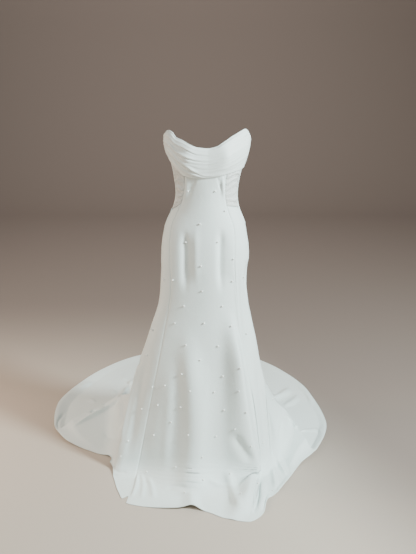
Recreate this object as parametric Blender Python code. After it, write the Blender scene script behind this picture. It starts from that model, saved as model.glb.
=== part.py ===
"""Strapless trumpet wedding dress with a draped cowl bust, ruched side panels and a chapel train.

The dress keeps the hollow form it has when worn. Metres, +Z up, the front faces -Y, and left is the
viewer's left (-X). The origin is the centre of the waist, where the wearer holds the dress up.

Every cloth piece is a wall taken from one surface. A point of that surface has two coordinates:
  station  goes round the body: 0 centre front, -1 and 1 princess seams, -2 and 2 side seams,
           -3 and 3 centre back;
  level    goes down the cloth: 0 top edge, 1 waist seam, 2 knee, 3 where it meets the floor, 4 hem.
"""

import math

import bmesh
import bpy
import mathutils
import numpy as np

# Driving sizes
WAIST_HEIGHT = 1.115  # of the waist, and so of the origin, above the floor
KNEE_HEIGHT = 0.60  # where the skirt leaves the body's sections and falls free
CREPE_WALL = 0.0015
TULLE_WALL = 0.0012
COWL_WALL = 0.0020
SEAM_GAP = 0.0003
COWL_GAP = 0.0012  # between the cowl and the bodice under it

# Outline of the body's part of the dress. Heights are above the floor. Left, right, front and back
# are distances from the body's axis, and the seam columns place the princess seams the same way.
# Side is how far round, in degrees from the front, the side seams are.
SECTION_COLUMNS = ("height", "left", "right", "front", "back", "seam_left", "seam_right", "side")
SECTIONS = (
    (1.420, 0.1530, 0.1500, 0.092, 0.098, 0.092, 0.088, 90),
    (1.360, 0.1555, 0.1520, 0.106, 0.100, 0.091, 0.086, 90),
    (1.300, 0.1485, 0.1450, 0.116, 0.097, 0.088, 0.079, 87),
    (1.250, 0.1345, 0.1300, 0.109, 0.093, 0.085, 0.071, 80),
    (1.200, 0.1265, 0.1180, 0.097, 0.089, 0.084, 0.064, 76),
    (1.150, 0.1212, 0.1108, 0.089, 0.086, 0.090, 0.0625, 76),
    (1.115, 0.1250, 0.1120, 0.087, 0.087, 0.099, 0.067, 78),
    (1.070, 0.1410, 0.1240, 0.091, 0.095, 0.117, 0.080, 84),
    (1.030, 0.1600, 0.1410, 0.098, 0.107, 0.135, 0.096, 88),
    (0.983, 0.1722, 0.1493, 0.103, 0.118, 0.142, 0.0995, 90),
    (0.936, 0.1790, 0.1570, 0.106, 0.126, 0.144, 0.0998, 90),
    (0.887, 0.1820, 0.1586, 0.106, 0.130, 0.143, 0.0995, 90),
    (0.840, 0.1840, 0.1545, 0.104, 0.128, 0.141, 0.102, 90),
    (0.790, 0.1870, 0.1520, 0.101, 0.124, 0.1405, 0.1055, 90),
    (0.740, 0.1900, 0.1545, 0.099, 0.124, 0.146, 0.110, 90),
    (0.690, 0.1990, 0.1620, 0.100, 0.130, 0.154, 0.116, 90),
    (0.640, 0.2160, 0.1730, 0.102, 0.142, 0.164, 0.1225, 90),
    (0.590, 0.2330, 0.1840, 0.106, 0.160, 0.174, 0.131, 90),
)

# Where each station meets the floor, where its hem lies, how the fall runs between the knee and
# the floor (under 1 drops steeply at the end, over 1 spreads), and how softly it bends there.
FLOOR_COLUMNS = ("station", "foot_x", "foot_y", "hem_x", "hem_y", "spread", "bend")
FLOOR = (
    (-3.00, -0.010, 0.640, -0.020, 1.170, 1.8, 0.050),
    (-2.85, -0.150, 0.640, -0.380, 1.050, 1.8, 0.050),
    (-2.70, -0.290, 0.590, -0.610, 0.800, 1.8, 0.040),
    (-2.55, -0.395, 0.500, -0.728, 0.450, 1.8, 0.030),
    (-2.42, -0.440, 0.405, -0.705, 0.255, 1.8, 0.020),
    (-2.30, -0.432, 0.290, -0.640, 0.140, 1.6, 0.020),
    (-2.16, -0.412, 0.090, -0.488, 0.040, 1.4, 0.020),
    (-2.07, -0.400, -0.020, -0.415, 0.000, 1.2, 0.020),
    (-2.00, -0.391, -0.088, -0.385, -0.135, 1.0, 0.020),
    (-1.60, -0.355, -0.105, -0.352, -0.240, 1.0, 0.020),
    (-1.00, -0.292, -0.105, -0.314, -0.312, 1.0, 0.020),
    (-0.50, -0.170, -0.150, -0.185, -0.345, 1.0, 0.060),
    (0.00, -0.045, -0.175, -0.030, -0.358, 1.0, 0.080),
    (0.50, 0.085, -0.165, 0.065, -0.405, 0.9, 0.060),
    (1.00, 0.2095, -0.109, 0.150, -0.425, 0.35, 0.022),
    (1.30, 0.232, -0.098, 0.209, -0.372, 0.5, 0.022),
    (1.60, 0.252, -0.075, 0.232, -0.290, 0.8, 0.022),
    (2.00, 0.277, -0.030, 0.272, -0.245, 1.0, 0.024),
    (2.15, 0.308, 0.060, 0.318, -0.170, 1.1, 0.020),
    (2.30, 0.345, 0.190, 0.385, -0.050, 1.2, 0.020),
    (2.42, 0.378, 0.330, 0.468, 0.045, 1.3, 0.020),
    (2.55, 0.350, 0.440, 0.547, 0.300, 1.4, 0.030),
    (2.70, 0.262, 0.550, 0.510, 0.600, 1.6, 0.040),
    (2.85, 0.135, 0.620, 0.330, 0.940, 1.8, 0.050),
    (3.00, -0.010, 0.640, -0.020, 1.170, 1.8, 0.050),
)

# Top edge and waist seam, as heights above the floor, round the body.
EDGE_COLUMNS = ("station", "top", "waist")
EDGES = (
    (-3.00, 1.252, 1.100),
    (-2.50, 1.285, 1.092),
    (-2.00, 1.343, 1.084),
    (-1.80, 1.370, 1.090),
    (-1.55, 1.381, 1.096),
    (-1.38, 1.376, 1.101),
    (-1.20, 1.353, 1.106),
    (-1.00, 1.345, 1.112),
    (-0.70, 1.332, 1.112),
    (-0.40, 1.322, 1.112),
    (0.00, 1.3185, 1.112),
    (0.35, 1.325, 1.112),
    (0.60, 1.338, 1.112),
    (1.00, 1.359, 1.108),
    (1.30, 1.381, 1.103),
    (1.48, 1.389, 1.100),
    (1.60, 1.378, 1.098),
    (1.75, 1.362, 1.096),
    (2.00, 1.335, 1.092),
    (2.50, 1.285, 1.092),
    (3.00, 1.252, 1.100),
)

# The cups: two soft bumps of a general figure.
CUP_STATION = 0.72
CUP_HEIGHT = 1.285
CUP_DEPTH = 0.016
CUP_WIDTH = 0.45  # in stations
CUP_RISE = 0.036

# Soft folds of the skirt. Each runs from one station and height to another, with a half width in
# stations at each end and a depth: above 0 it is a ridge, below 0 a hollow. A height below 0 is a
# distance along the cloth that lies on the floor.
FOLD_COLUMNS = ("station", "height", "to_station", "to_height", "width", "to_width", "depth")
FOLDS = (
    (-0.80, 1.220, -0.88, 1.120, 0.10, 0.08, 0.0035),
    (0.78, 1.215, 0.84, 1.140, 0.10, 0.08, 0.0035),
    (-0.45, 1.010, -0.42, 0.780, 0.20, 0.20, -0.0045),
    (0.62, 1.010, 0.66, 0.780, 0.20, 0.20, -0.0045),
    (-0.30, 0.640, -0.28, -0.060, 0.14, 0.30, -0.0130),
    (0.02, 0.560, 0.05, -0.080, 0.18, 0.22, 0.0060),
    (0.55, 0.660, 0.93, 0.060, 0.20, 0.16, -0.0140),
    (-0.74, 0.520, -0.76, 0.020, 0.18, 0.18, 0.0060),
    (-0.10, -0.060, -0.12, -0.240, 0.10, 0.10, 0.0160),
    (1.35, 0.900, 1.10, 0.560, 0.14, 0.10, 0.0040),
    (1.80, 0.900, 1.70, 0.720, 0.22, 0.18, -0.0090),
    (1.50, 0.520, 1.52, -0.020, 0.22, 0.24, -0.0080),
    (2.00, 0.480, 2.00, 0.030, 0.14, 0.12, 0.0070),
    (-2.00, 0.560, -2.00, 0.030, 0.12, 0.10, 0.0060),
    (-1.50, 0.560, -1.50, 0.020, 0.24, 0.26, -0.0090),
    (2.22, 0.620, 2.22, 0.020, 0.10, 0.08, -0.0160),
    (-2.22, 0.620, -2.22, 0.020, 0.10, 0.08, -0.0160),
    (2.58, 0.560, 2.60, -0.100, 0.08, 0.06, -0.0220),
    (-2.58, 0.560, -2.60, -0.100, 0.08, 0.06, -0.0220),
    (2.74, 0.600, 2.74, -0.160, 0.08, 0.06, 0.0200),
    (-2.74, 0.600, -2.74, -0.160, 0.08, 0.06, 0.0180),
    (2.88, 0.560, 2.88, -0.120, 0.08, 0.06, -0.0180),
    (-2.88, 0.520, -2.88, -0.120, 0.08, 0.06, -0.0180),
    (2.20, 0.960, 2.26, 0.720, 0.20, 0.20, -0.0050),
    (-2.20, 0.960, -2.26, 0.720, 0.20, 0.20, -0.0050),
)

# Creases of the train on the floor, across the strip. Shares run from the foot, 0, to the hem, 1.
CREASE_COLUMNS = ("station", "share", "to_station", "to_share", "width", "height")
CREASES = (
    (-2.50, 0.10, -2.62, 0.75, 0.016, 0.010),
    (-2.60, 0.12, -2.68, 0.62, 0.016, 0.010),
    (-2.68, 0.10, -2.74, 0.55, 0.014, 0.008),
    (2.66, 0.08, 2.74, 0.80, 0.016, 0.012),
    (2.58, 0.10, 2.70, 0.85, 0.016, 0.009),
    (2.86, 0.15, 2.84, 0.80, 0.016, 0.012),
    (-2.86, 0.15, -2.84, 0.80, 0.016, 0.012),
    (3.00, 0.20, 3.00, 0.90, 0.016, 0.010),
)

# The train's raised fold on each side runs from the skirt's foot out to the hem: near slope wide,
# far slope short.
RIDGE_COLUMNS = ("station", "foot_rise", "hem_rise", "near_width", "far_width")
RIDGES = (
    (-2.42, 0.064, 0.020, 0.22, 0.055),
    (2.42, 0.056, 0.024, 0.20, 0.050),
)
RIDGE_CLIMB = 0.20  # height up the skirt over which a raised fold fades out

# How far the hem's edge stands off the floor, round the train and the front.
LIFT_COLUMNS = ("station", "lift")
HEM_LIFT = (
    (-3.00, 0.004),
    (-2.75, 0.006),
    (-2.48, 0.022),
    (-2.36, 0.020),
    (-2.20, 0.004),
    (-1.00, 0.000),
    (-0.12, 0.010),
    (0.20, 0.000),
    (1.20, 0.002),
    (1.50, 0.008),
    (1.80, 0.002),
    (2.12, 0.008),
    (2.25, 0.003),
    (2.36, 0.010),
    (2.52, 0.024),
    (2.70, 0.005),
    (3.00, 0.004),
)
HEM_LIFT_START = 0.80  # share of the strip at which the edge begins to rise

# The cowl's lower edge.
COWL_COLUMNS = ("station", "bottom")
COWL = (
    (-2.00, 1.306),
    (-1.77, 1.265),
    (-1.40, 1.241),
    (-1.00, 1.219),
    (-0.30, 1.215),
    (0.00, 1.216),
    (0.50, 1.221),
    (1.05, 1.228),
    (1.65, 1.236),
    (2.00, 1.242),
)
COWL_RISE = 0.0030  # thickest rise of the soft cloth between its edges
COWL_DRAPE = 0.0040  # how far the cowl stands off the bodice between its edges
COWL_OVERTOP = 0.0016  # how far the cowl's rolled edge stands above the bodice's

# The cowl's tucks, each running from armpit to armpit. First where its line is, as a share of the
# way down at the left side, left seam, centre, right seam and right side. Then how deep it is at
# the left side, left seam, centre, right seam and right side.
TUCK_STATIONS = (-2.0, -1.0, 0.0, 1.0, 2.0)
TUCKS = (
    ((0.14, 0.20, 0.24, 0.21, 0.09), (0.0016, 0.0022, 0.0012, 0.0010, 0.0008)),
    ((0.32, 0.42, 0.42, 0.36, 0.21), (0.0024, 0.0028, 0.0012, 0.0010, 0.0010)),
    ((0.40, 0.51, 0.56, 0.52, 0.34), (0.0008, 0.0008, 0.0012, 0.0011, 0.0010)),
    ((0.46, 0.57, 0.69, 0.67, 0.48), (0.0004, 0.0006, 0.0012, 0.0010, 0.0008)),
    ((0.52, 0.63, 0.94, 0.97, 0.92), (0.0034, 0.0040, 0.0012, 0.0002, 0.0002)),
    ((0.56, 0.70, 0.82, 0.81, 0.64), (0.0002, 0.0004, 0.0012, 0.0010, 0.0008)),
    ((0.74, 0.81, 1.02, 1.04, 1.02), (0.0032, 0.0036, 0.0002, 0.0, 0.0)),
)
LIP_OFF = 0.0075  # of a tuck's ridge above its line
LIP_WIDTH = 0.0085
GROOVE_WIDTH = 0.0060

GATHERS = 6  # of each ruched side panel
GATHER_RISE = 0.0016

# The invisible zip in the centre back seam. It ends at a level below the waist.
ZIP_TOP_LEVEL = 0.02
ZIP_BOTTOM_LEVEL = 1.3
TAPE_START = 0.0018  # from the seam
TAPE_WIDTH = 0.0095
TAPE_WALL = 0.0010
TAPE_GAP = 0.0005  # between a tape and the back panel that it lies against
ZIP_MOUTH = 0.0018  # how far each edge of the seam gives way at the top, for the slider's neck
ZIP_MOUTH_HEIGHT = 0.024
SLIDER_SIZE = (0.0070, 0.0026, 0.0100)
SLIDER_DEPTH = 0.0037  # of the slider's near face behind the cloth's outer face
NECK_WIDTH = 0.0016
NECK_HEIGHT = 0.0022
RING_RADIUS = 0.0017
RING_HOLE = 0.00095
PIN_OFF = 0.0024  # of the pull's pin from the cloth
PIN_DROP = 0.0080  # of the pull's pin below the top edge
PULL_WALL = 0.0011

# The pull tab, from its pin down: distance below the pin, half width, and half width of its window.
PULL_COLUMNS = ("below", "half", "window")
PULL = (
    (-0.00055, 0.0019, 0.00115),
    (0.00055, 0.0023, 0.00115),
    (0.00230, 0.0023, 0.00115),
    (0.00600, 0.0023, 0.00110),
    (0.01300, 0.0029, 0.00120),
    (0.01700, 0.0030, 0.00120),
    (0.01900, 0.0025, 0.00100),
    (0.02000, 0.0014, 0.00060),
)


def columns(table, names):
    """The columns of a table, by name, as arrays."""
    return dict(zip(names, np.array(table, float).T))


def smooth(xs, ys, x, period=None):
    """A curve through points that never overshoots them, read at x."""
    order = np.argsort(xs)
    xs, ys = xs[order], ys[order]
    if period:
        xs = np.concatenate([xs[-4:-1] - period, xs, xs[1:4] + period])
        ys = np.concatenate([ys[-4:-1], ys, ys[1:4]])
    step = np.diff(xs)
    rise = np.diff(ys) / step
    slope = np.zeros(len(xs))
    same_way = rise[:-1] * rise[1:] > 0
    weight_a = 2 * step[1:] + step[:-1]
    weight_b = step[1:] + 2 * step[:-1]
    safe_a = np.where(same_way, rise[:-1], 1.0)
    safe_b = np.where(same_way, rise[1:], 1.0)
    mean = (weight_a + weight_b) / (weight_a / safe_a + weight_b / safe_b)
    slope[1:-1] = np.where(same_way, mean, 0.0)
    slope[0], slope[-1] = rise[0], rise[-1]
    x = np.clip(x, xs[0], xs[-1])
    i = np.clip(np.searchsorted(xs, x, side="right") - 1, 0, len(step) - 1)
    t = (x - xs[i]) / step[i]
    return (
        ys[i] * (1 + 2 * t) * (1 - t) ** 2
        + slope[i] * step[i] * t * (1 - t) ** 2
        + ys[i + 1] * t * t * (3 - 2 * t)
        + slope[i + 1] * step[i] * t * t * (t - 1)
    )


SECTION = columns(SECTIONS, SECTION_COLUMNS)
GROUND = columns(FLOOR, FLOOR_COLUMNS)
EDGE = columns(EDGES, EDGE_COLUMNS)
LIFT = columns(HEM_LIFT, LIFT_COLUMNS)
BUST = columns(COWL, COWL_COLUMNS)
ROUND = 6.0  # stations in one turn


def section(name, height):
    return smooth(SECTION["height"], SECTION[name], height)


def ground(name, station):
    return smooth(GROUND["station"], GROUND[name], station, ROUND)


def edge(name, station):
    return smooth(EDGE["station"], EDGE[name], station, ROUND)


def ease(t):
    t = np.clip(t, 0, 1)
    return t * t * (3 - 2 * t)


def strip_length(station):
    """Length of cloth between the foot and the hem."""
    across = ground("hem_x", station) - ground("foot_x", station)
    along = ground("hem_y", station) - ground("foot_y", station)
    return np.hypot(across, along)


def path_of(station, level):
    """Height above the floor at a level, or below 0 the length of cloth past the foot."""
    top, waist = edge("top", station), edge("waist", station)
    bodice = top + (waist - top) * level
    hip = waist + (KNEE_HEIGHT - waist) * (level - 1)
    fall = KNEE_HEIGHT * (3 - level)
    lying = -(level - 3) * strip_length(station)
    return np.where(level < 1, bodice, np.where(level < 2, hip, np.where(level < 3, fall, lying)))


def body_ring(station, height):
    """Plan position of a station on the body's section at a height."""
    left = station < 0
    wide = np.where(left, section("left", height), section("right", height))
    seam = np.where(left, section("seam_left", height), section("seam_right", height))
    seam_angle = np.arcsin(np.clip(seam / wide, 0, 1))
    side_angle = np.radians(section("side", height))
    turn = np.abs(station)
    angle = np.where(
        turn < 1,
        turn * seam_angle,
        np.where(
            turn < 2,
            seam_angle + (turn - 1) * (side_angle - seam_angle),
            side_angle + (turn - 2) * (math.pi - side_angle),
        ),
    )
    deep = np.where(turn < 2, section("front", height), section("back", height))
    x = np.where(left, -1, 1) * wide * np.sin(angle)
    y = -deep * np.cos(angle)
    cup = np.exp(-(((turn - CUP_STATION) / CUP_WIDTH) ** 2) - ((height - CUP_HEIGHT) / CUP_RISE) ** 2)
    return x, y - CUP_DEPTH * cup


def free_point(station, path):
    """A point of the surface before it is softened and folded: x, y and height above the floor."""
    x_body, y_body = body_ring(station, np.maximum(path, KNEE_HEIGHT))
    small = 0.02
    x_knee, y_knee = body_ring(station, np.full_like(path, KNEE_HEIGHT))
    x_up, y_up = body_ring(station, np.full_like(path, KNEE_HEIGHT + small))
    foot_x, foot_y = ground("foot_x", station), ground("foot_y", station)
    spread = ground("spread", station)
    t = np.clip(1 - path / KNEE_HEIGHT, 0, 1)

    def fall(knee, above, foot):
        start = (knee - above) / small * KNEE_HEIGHT
        end = (foot - knee) * spread
        return (
            knee * (1 + 2 * t) * (1 - t) ** 2
            + start * t * (1 - t) ** 2
            + foot * t * t * (3 - 2 * t)
            + end * t * t * (t - 1)
        )

    past = np.maximum(-path, 0) / strip_length(station)
    hanging = path >= KNEE_HEIGHT
    x = np.where(hanging, x_body, fall(x_knee, x_up, foot_x))
    y = np.where(hanging, y_body, fall(y_knee, y_up, foot_y))
    x = x + (ground("hem_x", station) - foot_x) * past
    y = y + (ground("hem_y", station) - foot_y) * past
    return np.stack([x, y, np.maximum(path, 0)], axis=-1)


def soft_point(station, path):
    """free_point averaged along the cloth, which rounds the bend at the floor."""
    bend = ground("bend", station)
    total = 0
    for part in (-1, -0.5, 0, 0.5, 1):
        total = total + free_point(station, path + part * bend)
    return total / 5


def normal_of(surface, station, path):
    """Unit normal that points out of the dress."""
    du, dp = 0.004, 0.002
    along = surface(station + du, path) - surface(station - du, path)
    down = surface(station, path - dp) - surface(station, path + dp)
    normal = np.cross(down, along)
    return normal / np.linalg.norm(normal, axis=-1, keepdims=True)


def turned(station):
    """The station brought back into -3 to 3."""
    return (station + 3) % ROUND - 3


def fold_height(station, path):
    """How far the folds push the cloth out."""
    push = np.zeros_like(path)
    for start, top, end, bottom, wide, to_wide, depth in FOLDS:
        t = (top - path) / (top - bottom)
        middle = start + (end - start) * t
        width = wide + (to_wide - wide) * np.clip(t, 0, 1)
        off = turned(station - middle)
        reach = ease(t / 0.3) * ease((1 - t) / 0.3)
        push = push + depth * np.exp(-((off / width) ** 2)) * reach
    share = -path / strip_length(station)
    for start, low, end, high, wide, tall in CREASES:
        t = (share - low) / (high - low)
        off = turned(station - start - (end - start) * np.clip(t, 0, 1))
        reach = ease(t / 0.25) * ease((1 - t) / 0.35)
        push = push + tall * np.exp(-((off / wide) ** 2)) * reach
    return push


def ridge_height(station, path):
    """The train's two raised folds."""
    rise = np.zeros_like(path)
    share = np.clip(-path / strip_length(station), 0, 1)
    for middle, foot_rise, hem_rise, near, far in RIDGES:
        off = turned(station - middle) * (1 if middle > 0 else -1)
        width = np.where(off < 0, near, far)
        tall = foot_rise + (hem_rise - foot_rise) * share
        fade = ease(1 - np.maximum(path, 0) / RIDGE_CLIMB)
        rise = rise + tall * fade * ease(1 - np.abs(off) / width)
    return rise


def hem_rise(station, path):
    share = -path / strip_length(station)
    lift = smooth(LIFT["station"], LIFT["lift"], station, ROUND)
    return lift * ease((share - HEM_LIFT_START) / (1 - HEM_LIFT_START))


def dress_point(station, path):
    """The outer surface of the dress, in the model's frame."""
    station = turned(station)
    point = soft_point(station, path)
    push = fold_height(station, path)
    point = point + push[..., None] * normal_of(soft_point, station, path)
    point[..., 2] += ridge_height(station, path) + hem_rise(station, path)
    point[..., 2] = np.maximum(point[..., 2], CREPE_WALL) - WAIST_HEIGHT
    return point


def cloth(name, stations, levels, wall, material, edges):
    """One cut piece as a closed wall. Edges says which borders are sewn, and so keep half a seam
    gap: first station, last station, first level, last level."""
    station, level = np.meshgrid(np.array(stations, float), np.array(levels, float), indexing="ij")
    path = path_of(station, level)
    outer = dress_point(station, path)
    inner = outer - wall * normal_of(dress_point, station, path)
    return sewn_wall(name, outer, inner, material, edges)


def sewn_wall(name, outer, inner, material, edges):
    """Draws each sewn border back from its seam, square to the seam."""
    shift = np.zeros_like(outer)
    half = SEAM_GAP / 2
    for sewn, border, inside in (
        (edges[0], (0, slice(None)), (1, slice(None))),
        (edges[1], (-1, slice(None)), (-2, slice(None))),
        (edges[2], (slice(None), 0), (slice(None), 1)),
        (edges[3], (slice(None), -1), (slice(None), -2)),
    ):
        if sewn:
            seam = np.gradient(outer[border], axis=0)
            seam /= np.linalg.norm(seam, axis=-1, keepdims=True)
            way = outer[inside] - outer[border]
            way -= (way * seam).sum(axis=-1, keepdims=True) * seam
            shift[border] += half * way / np.linalg.norm(way, axis=-1, keepdims=True)
    inner = inner + shift
    inner[..., 2] = np.maximum(inner[..., 2], -WAIST_HEIGHT)  # on the floor, never under it
    return wall_object(name, outer + shift, inner, material)


def wall_object(name, outer, inner, material):
    """A closed mesh between two grids of points."""
    across, down = outer.shape[:2]
    mesh = bmesh.new()
    skin = [[mesh.verts.new(outer[i, j]) for j in range(down)] for i in range(across)]
    back = [[mesh.verts.new(inner[i, j]) for j in range(down)] for i in range(across)]
    for i in range(across - 1):
        for j in range(down - 1):
            mesh.faces.new((skin[i][j], skin[i][j + 1], skin[i + 1][j + 1], skin[i + 1][j]))
            mesh.faces.new((back[i][j], back[i + 1][j], back[i + 1][j + 1], back[i][j + 1]))
    rim(mesh, [line[0] for line in skin], [line[0] for line in back], False)
    rim(mesh, [line[-1] for line in skin], [line[-1] for line in back], True)
    rim(mesh, skin[0], back[0], True)
    rim(mesh, skin[-1], back[-1], False)
    return finished(name, mesh, material)


def rim(mesh, outer, inner, other_way):
    """Closes a wall along a border, with the same diagonals on both sides of a seam."""
    for a, b, c, d in zip(outer, outer[1:], inner[1:], inner):
        for corners in ((a, b, c), (a, c, d)):
            mesh.faces.new(corners[::-1] if other_way else corners)


def finished(name, mesh, material):
    data = bpy.data.meshes.new(name)
    mesh.to_mesh(data)
    mesh.free()
    data.shade_smooth()
    data.set_sharp_from_angle(angle=math.radians(50))
    data.materials.append(material)
    piece = bpy.data.objects.new(name, data)
    bpy.context.scene.collection.objects.link(piece)
    return piece


def finish(name, colour, roughness, metallic=0.0):
    material = bpy.data.materials.new(name)
    material.use_nodes = True
    shader = material.node_tree.nodes["Principled BSDF"]
    shader.inputs["Base Color"].default_value = (*colour, 1)
    shader.inputs["Roughness"].default_value = roughness
    shader.inputs["Metallic"].default_value = metallic
    return material


def spaced(start, end, count):
    return [start + (end - start) * k / count for k in range(count + 1)]


# Levels shared by neighbouring pieces, so that their seams have the same points.
BODICE_LEVELS = spaced(0, 0.96, 12) + [1.0]
HIP_LEVELS = spaced(1, 2, 10)
FALL_LEVELS = spaced(2, 2.86, 8)[1:] + [2.93, 2.97, 2.99]
FLOOR_LEVELS = [3.0, 3.05, 3.15, 3.3, 3.5, 3.7, 3.86, 4.0]
SKIRT_LEVELS = HIP_LEVELS + FALL_LEVELS + FLOOR_LEVELS
FULL_LEVELS = BODICE_LEVELS[:-1] + SKIRT_LEVELS
RUCHED_LEVELS = spaced(0, 0.40, 5)[:-1] + spaced(0.40, 0.96, 14) + [0.98, 1.0]

# Stations of one back panel, closer together at the raised fold.
BACK_STATIONS = [2.0, 2.08, 2.16, 2.24, 2.31, 2.37, 2.42, 2.445, 2.48, 2.54, 2.61, 2.69]
BACK_STATIONS += [2.77, 2.85, 2.93, 3.0]


def front_panel(material):
    return cloth(
        "front_panel",
        spaced(-1, 1, 14),
        FULL_LEVELS,
        CREPE_WALL,
        material,
        edges=(True, True, False, False),
    )


def side_front(side, name, material):
    stations = [side * s for s in spaced(1, 2, 6)]
    edges = (True, True, True, False)
    return cloth(name, sorted(stations), SKIRT_LEVELS, CREPE_WALL, material, edges)


def gathers(station, level):
    """Ruching of a side panel: uneven ridges across it, slanting a little."""
    slant = 0.10 * (np.abs(station) - 1.5)
    phase = (level + slant) * GATHERS + 0.25 * np.sin(level * 9 + station)
    ridge = 0.5 + 0.5 * np.cos(2 * math.pi * phase)
    across = ease((np.abs(station) - 1) / 0.1) * ease((2 - np.abs(station)) / 0.1)
    fade = ease((level - 0.52) / 0.08) * ease((1 - level) / 0.05) * across
    return GATHER_RISE * ridge * fade


def straighten(points, levels, kept):
    """Lays a border's extra points on the straight lines between the kept ones."""
    for axis in range(3):
        at_kept = [points[levels.index(level), axis] for level in kept]
        points[:, axis] = np.interp(levels, kept, at_kept)


def ruched_side(side, name, material):
    """A gathered panel. Its sewn borders have their neighbours' points, and more between them."""
    stations = np.array(sorted(side * s for s in spaced(1, 2, 6)))
    levels = [round(level, 6) for level in RUCHED_LEVELS]
    kept = [round(level, 6) for level in BODICE_LEVELS]
    station, level = np.meshgrid(stations, np.array(levels), indexing="ij")
    path = path_of(station, level)
    outer = dress_point(station, path)
    normal = normal_of(dress_point, station, path)
    inner = outer - TULLE_WALL * normal
    outer = outer + gathers(station, level)[..., None] * normal
    for border in (0, -1):
        straighten(outer[border], levels, kept)
        straighten(inner[border], levels, kept)
    return sewn_wall(name, outer, inner, material, (True, True, False, True))


def back_points(side, stations, levels):
    """Outer and inner points of a back panel. At the top its centre edge gives way a little."""
    stations = np.array(sorted(side * s for s in stations))
    station, level = np.meshgrid(stations, np.array(levels, float), indexing="ij")
    path = path_of(station, level)
    outer = dress_point(station, path)
    inner = outer - CREPE_WALL * normal_of(dress_point, station, path)
    centre = 0 if side < 0 else -1
    below = edge("top", np.array(3.0)) - path[centre]
    give = side * ZIP_MOUTH * ease(1 - below / ZIP_MOUTH_HEIGHT)
    outer[centre, :, 0] += give
    inner[centre, :, 0] += give
    return outer, inner


def back_panel(side, name, material):
    outer, inner = back_points(side, BACK_STATIONS, FULL_LEVELS)
    return sewn_wall(name, outer, inner, material, (True, True, False, False))


def across_cowl(values, station):
    """A tuck's value at a station."""
    return smooth(np.array(TUCK_STATIONS), np.array(values), station)


def tuck_relief(station, share):
    """How far the tucks raise and sink the cowl: over each line the cloth hangs in a soft lip."""
    relief = np.zeros_like(share)
    tall = edge("top", station) - smooth(BUST["station"], BUST["bottom"], station)
    for line, depth in TUCKS:
        off = (share - across_cowl(line, station)) * tall
        lip = np.exp(-(((off + LIP_OFF) / LIP_WIDTH) ** 2))
        groove = np.exp(-((off / GROOVE_WIDTH) ** 2))
        relief = relief + across_cowl(depth, station) * (lip - 0.6 * groove)
    return relief


def cowl_point(station, share):
    """Plain inside of the cowl, standing off the bodice, at a share of the way down it."""
    top = edge("top", station) + COWL_OVERTOP
    bottom = smooth(BUST["station"], BUST["bottom"], station)
    path = top + (bottom - top) * share
    base = dress_point(station, path)
    normal = normal_of(dress_point, station, path)
    belly = np.sin(math.pi * np.clip(share, 0, 1)) * (1 - (np.abs(station) / 2) ** 2)
    return base + (COWL_GAP + COWL_DRAPE * belly)[..., None] * normal, normal


def cowl(material):
    stations = np.array(spaced(-2, 2, 36))
    shares = np.array(spaced(0, 1, 28))
    station, share = np.meshgrid(stations, shares, indexing="ij")
    inner, normal = cowl_point(station, share)
    fade = ease(share / 0.06) * ease((1 - share) / 0.05)
    rise = fade * (COWL_RISE + tuck_relief(station, share))
    outer = inner + (COWL_WALL + rise)[..., None] * normal
    return sewn_wall("cowl", outer, inner, material, (True, True, False, False))


def zip_tape(side, name, material):
    """One woven tape. It lies inside the back, against the cell next to the seam."""
    rows = [l for l in FULL_LEVELS if ZIP_TOP_LEVEL < l <= ZIP_BOTTOM_LEVEL + 1e-6]
    outer, inner = back_points(side, BACK_STATIONS[-2:], [ZIP_TOP_LEVEL] + rows)
    wall = inner - outer
    wall /= np.linalg.norm(wall, axis=-1, keepdims=True)
    seam, next_to_it = (0, 1) if side < 0 else (1, 0)
    across = inner[next_to_it] - inner[seam]
    wide = np.linalg.norm(across, axis=-1, keepdims=True)
    lines = []
    for off in np.array(spaced(TAPE_START, TAPE_START + TAPE_WIDTH, 3)):
        share = off / wide
        inward = wall[seam] + (wall[next_to_it] - wall[seam]) * share
        lines.append((inner[seam] + across * share + TAPE_GAP * inward, inward))
    if side > 0:
        lines.reverse()
    near = np.array([point for point, _ in lines])
    inward = np.array([inward for _, inward in lines])
    return wall_object(name, near, near + TAPE_WALL * inward, material)


def pin_place():
    """Where the pull's pin is, outside the centre back seam."""
    height = edge("top", np.array([3.0])) - PIN_DROP
    point = dress_point(np.array([3.0]), height)[0]
    return np.array([0.0, point[1] + PIN_OFF, point[2]])


def block(low, high, bevel):
    """A box between two corners, with rounded edges."""
    mesh = bmesh.new()
    bmesh.ops.create_cube(mesh, size=1)
    low, high = np.array(low), np.array(high)
    for vertex in mesh.verts:
        vertex.co = low + (np.array(vertex.co) + 0.5) * (high - low)
    bmesh.ops.bevel(mesh, geom=mesh.edges[:], offset=bevel, segments=2, affect="EDGES")
    return mesh


def rod(centre, radius, length, sides):
    """A round rod along X."""
    mesh = bmesh.new()
    bmesh.ops.create_cone(
        mesh, cap_ends=True, segments=sides, radius1=radius, radius2=radius, depth=length
    )
    turn = mathutils.Matrix.Rotation(math.pi / 2, 4, "Y")
    bmesh.ops.transform(mesh, matrix=mathutils.Matrix.Translation(centre) @ turn, verts=mesh.verts)
    return mesh


def combined(piece, mesh, operation):
    """Joins a mesh to a piece, or cuts it out, and keeps the result as the piece's own mesh."""
    other = finished("other", mesh, piece.data.materials[0])
    modifier = piece.modifiers.new("join", "BOOLEAN")
    modifier.operation = operation
    modifier.solver = "EXACT"
    modifier.object = other
    graph = bpy.context.evaluated_depsgraph_get()
    data = bpy.data.meshes.new_from_object(piece.evaluated_get(graph))
    piece.modifiers.clear()
    piece.data = data
    bpy.data.objects.remove(other, do_unlink=True)


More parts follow.
